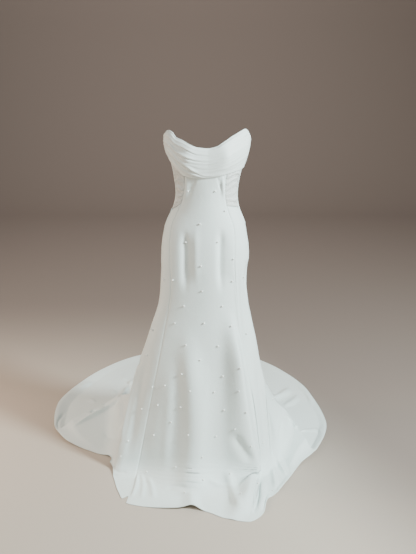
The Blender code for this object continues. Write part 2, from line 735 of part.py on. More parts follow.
def zip_slider(material):
    """The slider's body behind the tapes, its neck through the seam, and a ring for the pull."""
    pin = pin_place()
    cloth_y = pin[1] - PIN_OFF
    near, far = cloth_y - SLIDER_DEPTH, cloth_y - SLIDER_DEPTH - SLIDER_SIZE[1]
    wide, tall = SLIDER_SIZE[0] / 2, SLIDER_SIZE[2] / 2
    low, high = (-wide, far, pin[2] - tall), (wide, near, pin[2] + tall)
    slider = finished("zip_slider", block(low, high, 0.0006), material)
    low = (-NECK_WIDTH / 2, near - 0.0005, pin[2] - NECK_HEIGHT / 2)
    high = (NECK_WIDTH / 2, pin[1] - RING_HOLE - 0.0002, pin[2] + NECK_HEIGHT / 2)
    combined(slider, block(low, high, 0.0001), "UNION")
    combined(slider, rod(pin, RING_RADIUS, NECK_WIDTH * 1.01, 24), "UNION")
    combined(slider, rod(pin, RING_HOLE, NECK_WIDTH * 2, 24), "DIFFERENCE")
    return slider


def zip_pull(material):
    """The pull tab. Its window leaves a bar at the top, the pin, that turns in the slider's ring."""
    pin = pin_place()
    tab = columns(PULL, PULL_COLUMNS)
    mesh = bmesh.new()
    rows = []
    for below, half, window in zip(tab["below"], tab["half"], tab["window"]):
        at = [(x, pin[1], pin[2] - below) for x in (-half, -window, window, half)]
        rows.append([mesh.verts.new(point) for point in at])
    for k, (above, under) in enumerate(zip(rows, rows[1:])):
        for i in range(3):
            if (k, i) != (1, 1):
                mesh.faces.new((above[i], above[i + 1], under[i + 1], under[i]))
    pull = finished("zip_pull", mesh, material)
    wall = pull.modifiers.new("thickness", "SOLIDIFY")
    wall.thickness = PULL_WALL
    wall.offset = 0
    rounding = pull.modifiers.new("rounding", "BEVEL")
    rounding.width = 0.00022
    rounding.segments = 2
    rounding.limit_method = "ANGLE"
    return pull


def clear_scene():
    for old in list(bpy.data.objects):
        bpy.data.objects.remove(old, do_unlink=True)


def main():
    clear_scene()
    crepe = finish("ivory crepe", (0.80, 0.81, 0.79), 0.55)
    front_panel(crepe)
    side_front(-1, "side_front_left", crepe.copy())
    side_front(1, "side_front_right", crepe.copy())
    back_panel(-1, "back_left", crepe.copy())
    back_panel(1, "back_right", crepe.copy())
    tulle = finish("ivory tulle", (0.72, 0.70, 0.66), 0.7)
    ruched_side(-1, "ruched_side_left", tulle)
    ruched_side(1, "ruched_side_right", tulle.copy())
    cowl(finish("ivory organza", (0.84, 0.84, 0.82), 0.6))
    tape = finish("white zip tape", (0.82, 0.81, 0.78), 0.8)
    zip_tape(-1, "zip_tape_left", tape)
    zip_tape(1, "zip_tape_right", tape.copy())
    metal = finish("white enamelled metal", (0.80, 0.79, 0.76), 0.3)
    zip_slider(metal)
    zip_pull(metal.copy())


main()
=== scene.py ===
# %% [markdown]
# # A strapless wedding dress
#
# The real dress is a trumpet gown: a fitted bodice with a draped cowl over the bust, ruched sheer
# panels at the ribs, a long smooth front, and two backs that run out into a train. It keeps the
# form it has when worn, and it is hollow.
#
# Cloth like this could be simulated, but the fit and the few long folds are what make the dress,
# so every cut piece is taken from one surface that is described in words and short tables. The
# small folds are then laid on, and the cloth gets its thickness last.

# %% The imported model is the frame that every piece is built around
import math

import bmesh
import bpy
import numpy as np
from mathutils import Matrix, Vector
from mathutils.bvhtree import BVHTree


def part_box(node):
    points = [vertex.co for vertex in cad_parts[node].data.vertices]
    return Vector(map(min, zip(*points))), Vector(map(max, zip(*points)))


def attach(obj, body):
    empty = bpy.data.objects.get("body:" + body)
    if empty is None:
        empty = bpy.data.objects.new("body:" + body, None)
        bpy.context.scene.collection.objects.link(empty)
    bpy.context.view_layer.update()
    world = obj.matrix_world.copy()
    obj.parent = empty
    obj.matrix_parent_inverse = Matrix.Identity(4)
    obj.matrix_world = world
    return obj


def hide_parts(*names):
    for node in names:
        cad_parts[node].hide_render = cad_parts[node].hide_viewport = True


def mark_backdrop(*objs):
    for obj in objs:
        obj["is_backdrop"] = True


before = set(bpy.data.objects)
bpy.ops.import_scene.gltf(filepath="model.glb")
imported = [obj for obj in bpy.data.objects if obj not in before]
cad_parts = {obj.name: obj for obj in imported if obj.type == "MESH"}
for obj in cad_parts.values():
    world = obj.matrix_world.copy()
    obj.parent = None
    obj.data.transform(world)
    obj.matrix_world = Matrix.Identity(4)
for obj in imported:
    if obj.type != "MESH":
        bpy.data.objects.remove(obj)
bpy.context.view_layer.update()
scene = bpy.context.scene
print("frame", sorted(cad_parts))

# %% [markdown]
# ## Camera
#
# A product photo is usually taken from a little above the waist, looking down. The focal length is
# given in pixels of the picture, so a place in the picture can be turned into a line through the
# room. That is used later, to sew the pearls on where they are seen.

# %% Camera
PICTURE = (416, 554)
FOCAL_PIXELS = 700
SENSOR = 36  # of the taller side, in millimetres
CAMERA_PLACE = Vector((0, -2.6, 0.535))
CAMERA_DOWN = math.radians(17.9)

camera = bpy.data.objects.new("camera", bpy.data.cameras.new("camera"))
scene.collection.objects.link(camera)
camera.data.sensor_width = SENSOR
camera.data.lens = SENSOR * FOCAL_PIXELS / PICTURE[1]
camera.location = CAMERA_PLACE
camera.rotation_euler = (math.pi / 2 - CAMERA_DOWN, 0, 0)
scene.camera = camera
print("camera lens", round(camera.data.lens, 1), "mm")


def line_of_sight(across, down):
    """Direction from the camera through a place in the picture, in pixels."""
    ray = Vector(
        (
            (across - PICTURE[0] / 2) / FOCAL_PIXELS,
            (PICTURE[1] / 2 - down) / FOCAL_PIXELS,
            -1,
        )
    )
    return (Matrix.Rotation(math.pi / 2 - CAMERA_DOWN, 3, "X") @ ray).normalized()


# %% [markdown]
# ## Shader maths
#
# A material reads best as a formula. This small class wraps a node's output, and each operator
# on it adds the Math node that it stands for. Everything else comes from one method that makes a
# node from its type, its settings and its inputs.


# %% Sockets that take part in Python expressions
class Signal:
    """One output of a material's node tree, usable in arithmetic."""

    def __init__(self, finish, socket):
        self.finish = finish
        self.socket = socket

    def maths(self, operation, first, second=0.0):
        settings = {"operation": operation}
        return self.finish.node("ShaderNodeMath", settings, {0: first, 1: second})

    def __add__(self, other):
        return self.maths("ADD", self, other)

    def __radd__(self, other):
        return self.maths("ADD", other, self)

    def __mul__(self, other):
        return self.maths("MULTIPLY", self, other)

    def __rmul__(self, other):
        return self.maths("MULTIPLY", other, self)

    def under(self, limit):
        return self.maths("LESS_THAN", self, limit)


class Finish:
    """A material with a Principled shader."""

    def __init__(self, name, **constants):
        self.material = bpy.data.materials.new(name)
        self.material.use_nodes = True
        self.tree = self.material.node_tree
        self.shader = self.tree.nodes["Principled BSDF"]
        for socket, value in constants.items():
            self.shader.inputs[socket.replace("_", " ")].default_value = value

    def node(self, kind, settings=None, inputs=None, output=0):
        """A node from its type, its settings, the values or links of its inputs, and its output."""
        made = self.tree.nodes.new(kind)
        for key, value in (settings or {}).items():
            setattr(made, key, value)
        for key, value in (inputs or {}).items():
            if isinstance(value, Signal):
                self.tree.links.new(value.socket, made.inputs[key])
            else:
                made.inputs[key].default_value = value
        return Signal(self, made.outputs[output])

    def place(self):
        return self.node("ShaderNodeTexCoord", output="Object")

    def cut(self):
        """Place on the flat cloth, in metres, along its grain."""
        return self.node("ShaderNodeUVMap", {"uv_map": "grain"})

    def noise(self, vector, scale, detail=2.0):
        inputs = {"Vector": vector, "Scale": scale, "Detail": detail}
        return self.node("ShaderNodeTexNoise", None, inputs)

    def bands(self, vector, axis, scale):
        settings = {"wave_type": "BANDS", "bands_direction": axis}
        return self.node("ShaderNodeTexWave", settings, {"Vector": vector, "Scale": scale})

    def blend(self, factor, first, second):
        inputs = {0: factor, 6: first, 7: second}
        return self.node("ShaderNodeMix", {"data_type": "RGBA"}, inputs, 2)

    def bump(self, height, distance, strength=1.0, under=None):
        inputs = {"Height": height, "Distance": distance, "Strength": strength}
        if under is not None:
            inputs["Normal"] = under
        return self.node("ShaderNodeBump", None, inputs)

    def feed(self, socket, signal):
        self.tree.links.new(signal.socket, self.shader.inputs[socket])
        return self


# %% [markdown]
# ## Cloth finishes
#
# Heavy crepe is matt and pebbled: its yarns are twisted so hard that they curl, which leaves fine
# grains about a millimetre across and hides the weave. Up close the weave still shows as a faint
# grid, and over a hand's width the white is never quite even.


# %% Crepe
THREADS = 420.0  # scale of the weave's bands
SLUB_DEPTH = 0.0012


def crepe_finish(name, light, shade, grain=0.00010):
    finish = Finish(name, Roughness=0.62, Sheen_Weight=0.10, Sheen_Roughness=0.45)
    place, cut = finish.place(), finish.cut()
    pebble = finish.noise(place, 1100, 3.0)
    slub = finish.noise(place, 38, 2.0)
    cloud = finish.noise(place, 5.5, 1.0)
    weave = (finish.bands(cut, "X", THREADS) + finish.bands(cut, "Y", THREADS)) * 0.25
    tone = cloud * 0.7 + slub * 0.3
    finish.feed("Base Color", finish.blend(tone, (*shade, 1), (*light, 1)))
    finish.feed("Roughness", pebble * 0.16 + 0.54)
    fine = finish.bump(pebble + weave, grain)
    finish.feed("Normal", finish.bump(slub, SLUB_DEPTH, 0.6, fine))
    return finish.material


CREPE_LIGHT = (0.795, 0.868, 0.858)
CREPE_SHADE = (0.765, 0.838, 0.828)
ORGANZA_LIGHT = (0.825, 0.880, 0.864)
ORGANZA_SHADE = (0.790, 0.845, 0.828)
ORGANZA_GRAIN = 0.00006
crepe = crepe_finish("ivory crepe", CREPE_LIGHT, CREPE_SHADE)
organza = crepe_finish("draped organza", ORGANZA_LIGHT, ORGANZA_SHADE, ORGANZA_GRAIN)
print("cloth", crepe.name, organza.name)

# %% [markdown]
# Tulle is a net. Two gathered layers let a little light through, so the ribs look darker than the
# crepe beside them where the light doesn't fall on them. The net's threads run round its holes,
# so a cell pattern's borders draw it, and the holes are only partly clear.


# %% Tulle
TULLE_CELLS = 700.0  # holes to the metre
THREAD_SHARE = 0.10  # of a hole's width
HOLE_COVER = 0.74  # how much the second layer behind a hole still covers


def tulle_finish():
    finish = Finish("gathered tulle", Roughness=0.7, Sheen_Weight=0.2)
    cut = finish.cut()
    holes = finish.node(
        "ShaderNodeTexVoronoi",
        {"feature": "DISTANCE_TO_EDGE"},
        {"Vector": cut, "Scale": TULLE_CELLS, "Randomness": 0.25},
    )
    thread = holes.under(THREAD_SHARE)
    shade = finish.noise(finish.place(), 30, 2.0)
    colour = finish.blend(shade, (0.78, 0.79, 0.77, 1), (0.85, 0.87, 0.85, 1))
    finish.feed("Base Color", colour)
    finish.feed("Alpha", thread * (1 - HOLE_COVER) + HOLE_COVER)
    finish.feed("Normal", finish.bump(thread, 0.0002, 0.8))
    return finish.material


tulle = tulle_finish()
print("net", tulle.name, round(1000 / TULLE_CELLS, 2), "mm")

# %% [markdown]
# The small things are hard and smooth. A pearl bead has a clear coat over a milky body with faint
# clouds in it. The zip's slider is white enamel on metal, and its tapes are woven in ribs.


# %% Pearl, enamel and tape
def pearl_finish():
    finish = Finish("pearl bead", Roughness=0.28, Coat_Weight=0.6, Coat_Roughness=0.12)
    cloud = finish.noise(finish.place(), 260, 2.0)
    colour = finish.blend(cloud, (0.88, 0.86, 0.82, 1), (0.95, 0.95, 0.94, 1))
    finish.feed("Base Color", colour)
    finish.feed("Normal", finish.bump(cloud, 0.0001, 0.3))
    return finish.material


def enamel_finish():
    finish = Finish("white enamel", Roughness=0.3, Coat_Weight=0.4)
    worn = finish.noise(finish.place(), 900, 3.0)
    colour = finish.blend(worn, (0.78, 0.77, 0.74, 1), (0.86, 0.85, 0.82, 1))
    finish.feed("Base Color", colour)
    finish.feed("Roughness", worn * 0.2 + 0.22)
    finish.feed("Normal", finish.bump(worn, 0.00005, 0.5))
    return finish.material


TAPE_RIBS = 320.0  # scale of the tape's ribs


def tape_finish():
    finish = Finish("zip tape", Roughness=0.8)
    place = finish.place()
    rib = finish.bands(place, "Z", TAPE_RIBS)
    fuzz = finish.noise(place, 1500, 2.0)
    colour = finish.blend(rib, (0.78, 0.77, 0.74, 1), (0.85, 0.84, 0.81, 1))
    finish.feed("Base Color", colour)
    finish.feed("Normal", finish.bump(rib + fuzz * 0.5, 0.00012))
    return finish.material


pearl, enamel, tape = pearl_finish(), enamel_finish(), tape_finish()
print("hard finishes", pearl.name, enamel.name, tape.name)

# %% [markdown]
# ## The surface that every piece is cut from
#
# A point of the dress has two coordinates. Its station goes round the body: 0 is the centre front,
# 1 and -1 are the princess seams, 2 and -2 the side seams, 3 and -3 the centre back. Its path goes
# down the cloth: above 0 it is the height above the floor, and below 0 it is the length of cloth
# that already lies on the floor. Left is the viewer's left.
#
# Down to the knee, each height has a section: an oval with its own width and depth. The tables
# are read through a curve that never overshoots between its rows, so a table can stay short.

# %% Sizes and a smooth reader of tables
WAIST_HEIGHT = 1.115
KNEE_HEIGHT = 0.60
CREPE_WALL = 0.0013
FLOOR_GAP = 0.0002  # between the lowest cloth and the floor
ROUND = 6.0  # stations in one turn

SECTION_COLUMNS = ("height", "left", "right", "front", "back", "seam_left", "seam_right", "side")
SECTIONS = (
    (1.420, 0.1530, 0.1500, 0.092, 0.098, 0.092, 0.088, 90),
    (1.360, 0.1555, 0.1520, 0.106, 0.100, 0.091, 0.086, 90),
    (1.300, 0.1485, 0.1450, 0.116, 0.097, 0.088, 0.079, 87),
    (1.250, 0.1345, 0.1300, 0.109, 0.093, 0.085, 0.071, 80),
    (1.200, 0.1265, 0.1180, 0.097, 0.089, 0.084, 0.064, 76),
    (1.150, 0.1212, 0.1108, 0.089, 0.086, 0.090, 0.0625, 76),
    (1.115, 0.1250, 0.1120, 0.087, 0.087, 0.099, 0.067, 78),
    (1.070, 0.1410, 0.1240, 0.091, 0.095, 0.117, 0.080, 84),
    (1.030, 0.1600, 0.1410, 0.098, 0.107, 0.135, 0.096, 88),
    (0.983, 0.1722, 0.1493, 0.103, 0.118, 0.142, 0.0995, 90),
    (0.936, 0.1790, 0.1570, 0.106, 0.126, 0.144, 0.0998, 90),
    (0.887, 0.1820, 0.1586, 0.106, 0.130, 0.143, 0.0995, 90),
    (0.840, 0.1840, 0.1545, 0.104, 0.128, 0.141, 0.102, 90),
    (0.790, 0.1870, 0.1520, 0.101, 0.124, 0.1405, 0.1055, 90),
    (0.740, 0.1900, 0.1545, 0.099, 0.124, 0.146, 0.110, 90),
    (0.690, 0.1990, 0.1620, 0.100, 0.130, 0.154, 0.116, 90),
    (0.640, 0.2160, 0.1730, 0.102, 0.142, 0.164, 0.1225, 90),
    (0.590, 0.2330, 0.1840, 0.106, 0.160, 0.174, 0.131, 90),
)


def columns(table, names):
    """The columns of a table, by name, as arrays."""
    return dict(zip(names, np.array(table, float).T))


def smooth(xs, ys, x, period=None):
    """A curve through points that never overshoots them, read at x."""
    order = np.argsort(xs)
    xs, ys = np.asarray(xs, float)[order], np.asarray(ys, float)[order]
    if period:
        xs = np.concatenate([xs[-4:-1] - period, xs, xs[1:4] + period])
        ys = np.concatenate([ys[-4:-1], ys, ys[1:4]])
    step = np.diff(xs)
    rise = np.diff(ys) / step
    slope = np.zeros(len(xs))
    same_way = rise[:-1] * rise[1:] > 0
    weight_a = 2 * step[1:] + step[:-1]
    weight_b = step[1:] + 2 * step[:-1]
    safe_a = np.where(same_way, rise[:-1], 1.0)
    safe_b = np.where(same_way, rise[1:], 1.0)
    mean = (weight_a + weight_b) / (weight_a / safe_a + weight_b / safe_b)
    slope[1:-1] = np.where(same_way, mean, 0.0)
    slope[0], slope[-1] = rise[0], rise[-1]
    x = np.clip(x, xs[0], xs[-1])
    i = np.clip(np.searchsorted(xs, x, side="right") - 1, 0, len(step) - 1)
    t = (x - xs[i]) / step[i]
    return (
        ys[i] * (1 + 2 * t) * (1 - t) ** 2
        + slope[i] * step[i] * t * (1 - t) ** 2
        + ys[i + 1] * t * t * (3 - 2 * t)
        + slope[i + 1] * step[i] * t * t * (t - 1)
    )


SECTION = columns(SECTIONS, SECTION_COLUMNS)


def section(name, height):
    return smooth(SECTION["height"], SECTION[name], height)


def ease(t):
    """0 to 1, starting and ending gently."""
    t = np.clip(t, 0, 1)
    return t * t * (3 - 2 * t)


def tapered(t, start, end):
    """1 in the middle of a stretch from 0 to 1, and fading to 0 at its start and its end."""
    return ease(t / start) * ease((1 - t) / end)


def bell(off, width):
    """A bell curve, 1 high."""
    return np.exp(-((off / width) ** 2))


waist_wide = section("left", WAIST_HEIGHT) + section("right", WAIST_HEIGHT)
print(len(SECTIONS), "sections, waist", round(float(waist_wide), 3), "wide")

# %% [markdown]
# The bodice's ovals carry two soft bumps for the bust. They are the general bumps of a cut with
# cups, not any person's.

# %% A ring of the bodice and the hips
CUP_STATION = 0.72
CUP_HEIGHT = 1.285
CUP_DEPTH = 0.016
CUP_WIDTH = 0.45  # in stations
CUP_RISE = 0.036


def body_ring(station, height):
    """Plan position of a station on the section at a height."""
    left = station < 0
    wide = np.where(left, section("left", height), section("right", height))
    seam = np.where(left, section("seam_left", height), section("seam_right", height))
    seam_angle = np.arcsin(np.clip(seam / wide, 0, 1))
    side_angle = np.radians(section("side", height))
    turn = np.abs(station)
    angle = np.where(
        turn < 1,
        turn * seam_angle,
        np.where(
            turn < 2,
            seam_angle + (turn - 1) * (side_angle - seam_angle),
            side_angle + (turn - 2) * (math.pi - side_angle),
        ),
    )
    deep = np.where(turn < 2, section("front", height), section("back", height))
    x = np.where(left, -1, 1) * wide * np.sin(angle)
    y = -deep * np.cos(angle)
    sideways = (turn - CUP_STATION) / CUP_WIDTH
    upwards = (height - CUP_HEIGHT) / CUP_RISE
    cup = np.exp(-(sideways**2) - upwards**2)
    return x, y - CUP_DEPTH * cup


# %% [markdown]
# Below the knee nothing holds the skirt. Each station has a foot, where the cloth meets the floor,
# and a hem, where it ends, and the cloth falls between knee and foot in one even curve. The train
# is the same thing with the hem far behind.

# %% The floor plan of the skirt
FLOOR_COLUMNS = ("station", "foot_x", "foot_y", "hem_x", "hem_y", "spread", "bend")
FLOOR = (
    (-3.00, -0.010, 0.640, -0.020, 1.170, 1.8, 0.050),
    (-2.85, -0.150, 0.640, -0.380, 1.050, 1.8, 0.050),
    (-2.70, -0.290, 0.590, -0.610, 0.800, 1.8, 0.040),
    (-2.55, -0.395, 0.500, -0.728, 0.450, 1.8, 0.030),
    (-2.42, -0.440, 0.405, -0.705, 0.255, 1.8, 0.020),
    (-2.30, -0.432, 0.290, -0.640, 0.140, 1.6, 0.020),
    (-2.16, -0.412, 0.090, -0.488, 0.040, 1.4, 0.020),
    (-2.07, -0.400, -0.020, -0.415, 0.000, 1.2, 0.020),
    (-2.00, -0.391, -0.088, -0.385, -0.135, 1.0, 0.020),
    (-1.60, -0.355, -0.105, -0.352, -0.240, 1.0, 0.020),
    (-1.00, -0.292, -0.105, -0.314, -0.312, 1.0, 0.020),
    (-0.50, -0.170, -0.150, -0.185, -0.345, 1.0, 0.060),
    (0.00, -0.045, -0.175, -0.030, -0.358, 1.0, 0.080),
    (0.50, 0.085, -0.165, 0.065, -0.405, 0.9, 0.060),
    (1.00, 0.2095, -0.109, 0.150, -0.425, 0.35, 0.022),
    (1.30, 0.232, -0.098, 0.209, -0.372, 0.5, 0.022),
    (1.60, 0.252, -0.075, 0.232, -0.290, 0.8, 0.022),
    (2.00, 0.277, -0.030, 0.272, -0.245, 1.0, 0.024),
    (2.15, 0.308, 0.060, 0.318, -0.170, 1.1, 0.020),
    (2.30, 0.345, 0.190, 0.385, -0.050, 1.2, 0.020),
    (2.42, 0.378, 0.330, 0.468, 0.045, 1.3, 0.020),
    (2.55, 0.350, 0.440, 0.547, 0.300, 1.4, 0.030),
    (2.70, 0.262, 0.550, 0.510, 0.600, 1.6, 0.040),
    (2.85, 0.135, 0.620, 0.330, 0.940, 1.8, 0.050),
    (3.00, -0.010, 0.640, -0.020, 1.170, 1.8, 0.050),
)
GROUND = columns(FLOOR, FLOOR_COLUMNS)

EDGE_COLUMNS = ("station", "top", "waist")
EDGES = (
    (-3.00, 1.252, 1.100),
    (-2.50, 1.285, 1.092),
    (-2.00, 1.343, 1.084),
    (-1.80, 1.367, 1.090),
    (-1.55, 1.375, 1.096),
    (-1.38, 1.371, 1.101),
    (-1.20, 1.353, 1.106),
    (-1.00, 1.345, 1.112),
    (-0.70, 1.332, 1.112),
    (-0.40, 1.322, 1.112),
    (0.00, 1.3185, 1.112),
    (0.35, 1.325, 1.112),
    (0.60, 1.338, 1.112),
    (1.00, 1.359, 1.108),
    (1.30, 1.375, 1.103),
    (1.48, 1.380, 1.100),
    (1.60, 1.376, 1.098),
    (1.75, 1.364, 1.096),
    (2.00, 1.335, 1.092),
    (2.50, 1.285, 1.092),
    (3.00, 1.252, 1.100),
)
EDGE = columns(EDGES, EDGE_COLUMNS)


def ground(name, station):
    return smooth(GROUND["station"], GROUND[name], station, ROUND)


def edge(name, station):
    return smooth(EDGE["station"], EDGE[name], station, ROUND)


def strip_length(station):
    """Length of cloth between the foot and the hem."""
    across = ground("hem_x", station) - ground("foot_x", station)
    along = ground("hem_y", station) - ground("foot_y", station)
    return np.hypot(across, along)


def path_of(station, level):
    """The path at a level: 0 top edge, 1 waist seam, 2 knee, 3 foot, 4 hem."""
    top, waist = edge("top", station), edge("waist", station)
    bodice = top + (waist - top) * level
    hip = waist + (KNEE_HEIGHT - waist) * (level - 1)
    fall = KNEE_HEIGHT * (3 - level)
    lying = -(level - 3) * strip_length(station)
    return np.where(level < 1, bodice, np.where(level < 2, hip, np.where(level < 3, fall, lying)))


KNEE_STEP = 0.02  # above the knee, to find the slope that the skirt goes on with


def free_point(station, path):
    """A point of the plain surface: x, y and height above the floor."""
    x_body, y_body = body_ring(station, np.maximum(path, KNEE_HEIGHT))
    x_knee, y_knee = body_ring(station, np.full_like(path, KNEE_HEIGHT))
    x_up, y_up = body_ring(station, np.full_like(path, KNEE_HEIGHT + KNEE_STEP))
    foot_x, foot_y = ground("foot_x", station), ground("foot_y", station)
    spread = ground("spread", station)
    t = np.clip(1 - path / KNEE_HEIGHT, 0, 1)

    def fall(knee, above, foot):
        start = (knee - above) / KNEE_STEP * KNEE_HEIGHT
        end = (foot - knee) * spread
        return (
            knee * (1 + 2 * t) * (1 - t) ** 2
            + start * t * (1 - t) ** 2
            + foot * t * t * (3 - 2 * t)
            + end * t * t * (t - 1)
        )

    past = np.maximum(-path, 0) / strip_length(station)
    hanging = path >= KNEE_HEIGHT
    x = np.where(hanging, x_body, fall(x_knee, x_up, foot_x))
    y = np.where(hanging, y_body, fall(y_knee, y_up, foot_y))
    x = x + (ground("hem_x", station) - foot_x) * past
    y = y + (ground("hem_y", station) - foot_y) * past
    return np.stack([x, y, np.maximum(path, 0)], axis=-1)


FLOOR_BEND = 0.035
FLOOR_REACH = 0.4  # height over which the bend grows
BEND_STEPS = 9
FLARE_STATION, FLARE_WIDTH, FLARE_BEND = 2.24, 0.16, 0.07  # the right back runs out in one sweep


def soft_point(station, path):
    """free_point averaged along the cloth, which rounds the bend at the floor."""
    flare = FLARE_BEND * bell(station - FLARE_STATION, FLARE_WIDTH)
    grown_by = ease(1 - np.maximum(path, 0) / FLOOR_REACH)
    bend = ground("bend", station) + (FLOOR_BEND + flare) * grown_by
    parts = np.linspace(-1, 1, BEND_STEPS)
    return sum(free_point(station, path + part * bend) for part in parts) / len(parts)


def normal_of(surface, station, path):
    """Unit normal that points out of the dress."""
    du, dp = 0.004, 0.002
    along = surface(station + du, path) - surface(station - du, path)
    down = surface(station, path - dp) - surface(station, path + dp)
    normal = np.cross(down, along)
    return normal / np.linalg.norm(normal, axis=-1, keepdims=True)


hem_wide = GROUND["hem_x"].max() - GROUND["hem_x"].min()
print("hem", round(float(hem_wide), 3), "wide, train to", GROUND["hem_y"].max())

# %% [markdown]
# ## Long folds
#
# A trumpet skirt hangs from the hips in broad soft folds, with a flat ridge or hollow between each
# pair of seams. Each row of the first table is one fold: where it starts and ends, how wide it is
# at both ends, and how deep. Two folds of the front lean: their crest wanders from one station to
# another on its way down, and each flank has its own width. The train adds creases on the floor,
# and one raised fold on each side where the cloth is pulled round to the back.

# %% Folds, creases and the train's raised folds
FOLDS = (  # station, height, to station, to height, width, to width, depth
    (-0.80, 1.220, -0.88, 1.120, 0.10, 0.08, 0.0035),
    (0.78, 1.215, 0.84, 1.140, 0.10, 0.08, 0.0035),
    (-0.45, 1.010, -0.42, 0.780, 0.20, 0.20, -0.0045),
    (0.62, 1.010, 0.66, 0.780, 0.20, 0.20, -0.0045),
    (0.02, 0.560, 0.05, -0.080, 0.18, 0.22, 0.0030),
    (-0.74, 0.520, -0.76, 0.020, 0.18, 0.18, 0.0060),
    (-0.10, -0.060, -0.12, -0.240, 0.10, 0.10, 0.0160),
    (1.35, 0.900, 1.10, 0.560, 0.14, 0.10, 0.0040),
    (1.80, 0.900, 1.70, 0.720, 0.22, 0.18, -0.0090),
    (1.50, 0.520, 1.52, -0.020, 0.22, 0.24, -0.0080),
    (2.00, 0.480, 2.00, 0.030, 0.14, 0.12, 0.0070),
    (-2.00, 0.560, -2.00, 0.030, 0.12, 0.10, 0.0090),
    (-1.50, 0.560, -1.50, 0.020, 0.24, 0.26, -0.0090),
    (2.22, 0.620, 2.22, 0.020, 0.10, 0.08, -0.0160),
    (-2.20, 0.620, -2.20, 0.020, 0.10, 0.10, -0.0420),
    (-2.09, 0.560, -2.09, 0.020, 0.04, 0.04, -0.0180),
    (2.58, 0.560, 2.60, -0.100, 0.08, 0.06, -0.0220),
    (-2.58, 0.560, -2.60, -0.100, 0.08, 0.06, -0.0220),
    (2.74, 0.600, 2.74, -0.160, 0.08, 0.06, 0.0200),
    (-2.74, 0.600, -2.74, -0.160, 0.08, 0.06, 0.0180),
    (2.88, 0.560, 2.88, -0.120, 0.08, 0.06, -0.0180),
    (-2.88, 0.520, -2.88, -0.120, 0.08, 0.06, -0.0180),
    (2.20, 0.960, 2.26, 0.720, 0.20, 0.20, -0.0050),
    (-2.20, 0.960, -2.26, 0.720, 0.20, 0.20, -0.0050),
)
LEANING = (  # rise, width before and after the crest, and the crest's places as station and path
    (0.0270, 0.20, 0.22, (-0.44, 0.66), (-0.26, 0.42), (-0.12, 0.18), (-0.10, 0.02), (-0.14, -0.12)),
    (0.0480, 0.25, 0.13, (0.71, 0.72), (0.73, 0.42), (0.79, 0.17), (0.85, 0.06), (0.90, -0.30)),
)
CREASES = (  # station, share of the strip, to station, to share, width, height
    (-2.50, 0.10, -2.62, 0.75, 0.016, 0.010),
    (-2.60, 0.12, -2.68, 0.62, 0.016, 0.010),
    (-2.68, 0.10, -2.74, 0.55, 0.014, 0.008),
    (2.66, 0.08, 2.74, 0.80, 0.016, 0.012),
    (2.58, 0.10, 2.70, 0.85, 0.016, 0.009),
    (2.86, 0.15, 2.84, 0.80, 0.016, 0.012),
    (-2.86, 0.15, -2.84, 0.80, 0.016, 0.012),
    (3.00, 0.20, 3.00, 0.90, 0.016, 0.010),
)
LEAN_START, LEAN_END = 0.25, 0.12  # lengths over which a leaning fold grows and dies
RIDGES = (  # station at foot and hem, rise at foot and hem, near width, far width at foot and hem
    (-2.42, -2.36, 0.072, 0.036, 0.22, 0.040, 0.014),
    (2.365, 2.395, 0.062, 0.038, 0.20, 0.040, 0.016),
)
RIDGE_CLIMB = 0.20  # height above the floor at which a raised fold has died out
RIDGE_END, RIDGE_END_LENGTH, RIDGE_END_LOSS = 0.72, 0.28, 0.9  # and towards the hem, in shares
RIDGE_SOFT = 0.3  # how far the near slope is rounded
LIFT_COLUMNS = ("station", "lift")
HEM_LIFT = (
    (-3.00, 0.004),
    (-2.75, 0.006),
    (-2.48, 0.022),
    (-2.36, 0.020),
    (-2.20, 0.004),
    (-1.00, 0.000),
    (-0.12, 0.010),
    (0.20, 0.000),
    (1.20, 0.002),
    (1.50, 0.008),
    (1.80, 0.002),
    (2.12, 0.008),
    (2.25, 0.003),
    (2.36, 0.012),
    (2.44, 0.020),
    (2.54, 0.010),
    (2.70, 0.005),
    (3.00, 0.004),
)
HEM_LIFT_START = 0.80
LIFT = columns(HEM_LIFT, LIFT_COLUMNS)


def turned(station):
    """The station brought back into -3 to 3."""
    return (station + 3) % ROUND - 3


def fold_height(station, path):
    """How far the long folds push the cloth out."""
    push = np.zeros_like(path)
    for start, top, end, bottom, wide, to_wide, depth in FOLDS:
        t = (top - path) / (top - bottom)
        middle = start + (end - start) * t
        width = wide + (to_wide - wide) * np.clip(t, 0, 1)
        push = push + depth * bell(turned(station - middle), width) * tapered(t, 0.3, 0.3)
    for tall, before, after, *crest in LEANING:
        stations, paths = np.array(crest).T
        off = turned(station - smooth(paths, stations, path))
        width = np.where(off < 0, before, after)
        reach = ease((paths[0] - path) / LEAN_START) * ease((path - paths[-1]) / LEAN_END)
        push = push + tall * bell(off, width) * reach
    share = -path / strip_length(station)
    for start, low, end, high, wide, tall in CREASES:
        t = (share - low) / (high - low)
        off = turned(station - start - (end - start) * np.clip(t, 0, 1))
        push = push + tall * bell(off, wide) * tapered(t, 0.25, 0.35)
    return push


def ridge_height(station, path):
    """The train's two raised folds: a long near slope up to a sharp crest, and a short far one."""
    rise = np.zeros_like(path)
    share = np.clip(-path / strip_length(station), 0, 1)
    for middle, end, foot_rise, hem_rise, near, far, far_end in RIDGES:
        off = turned(station - middle - (end - middle) * share) * (1 if middle > 0 else -1)
        width = np.where(off < 0, near, far + (far_end - far) * share)
        dying = RIDGE_END_LOSS * ease((share - RIDGE_END) / RIDGE_END_LENGTH)
        tall = (foot_rise + (hem_rise - foot_rise) * share) * (1 - dying)
        fade = ease(1 - np.maximum(path, 0) / RIDGE_CLIMB)
        slope = np.clip(1 - np.abs(off) / width, 0, 1)
        near_slope = (1 - RIDGE_SOFT) * slope + RIDGE_SOFT * ease(slope)
        rise = rise + tall * fade * np.where(off < 0, near_slope, slope)
    return rise


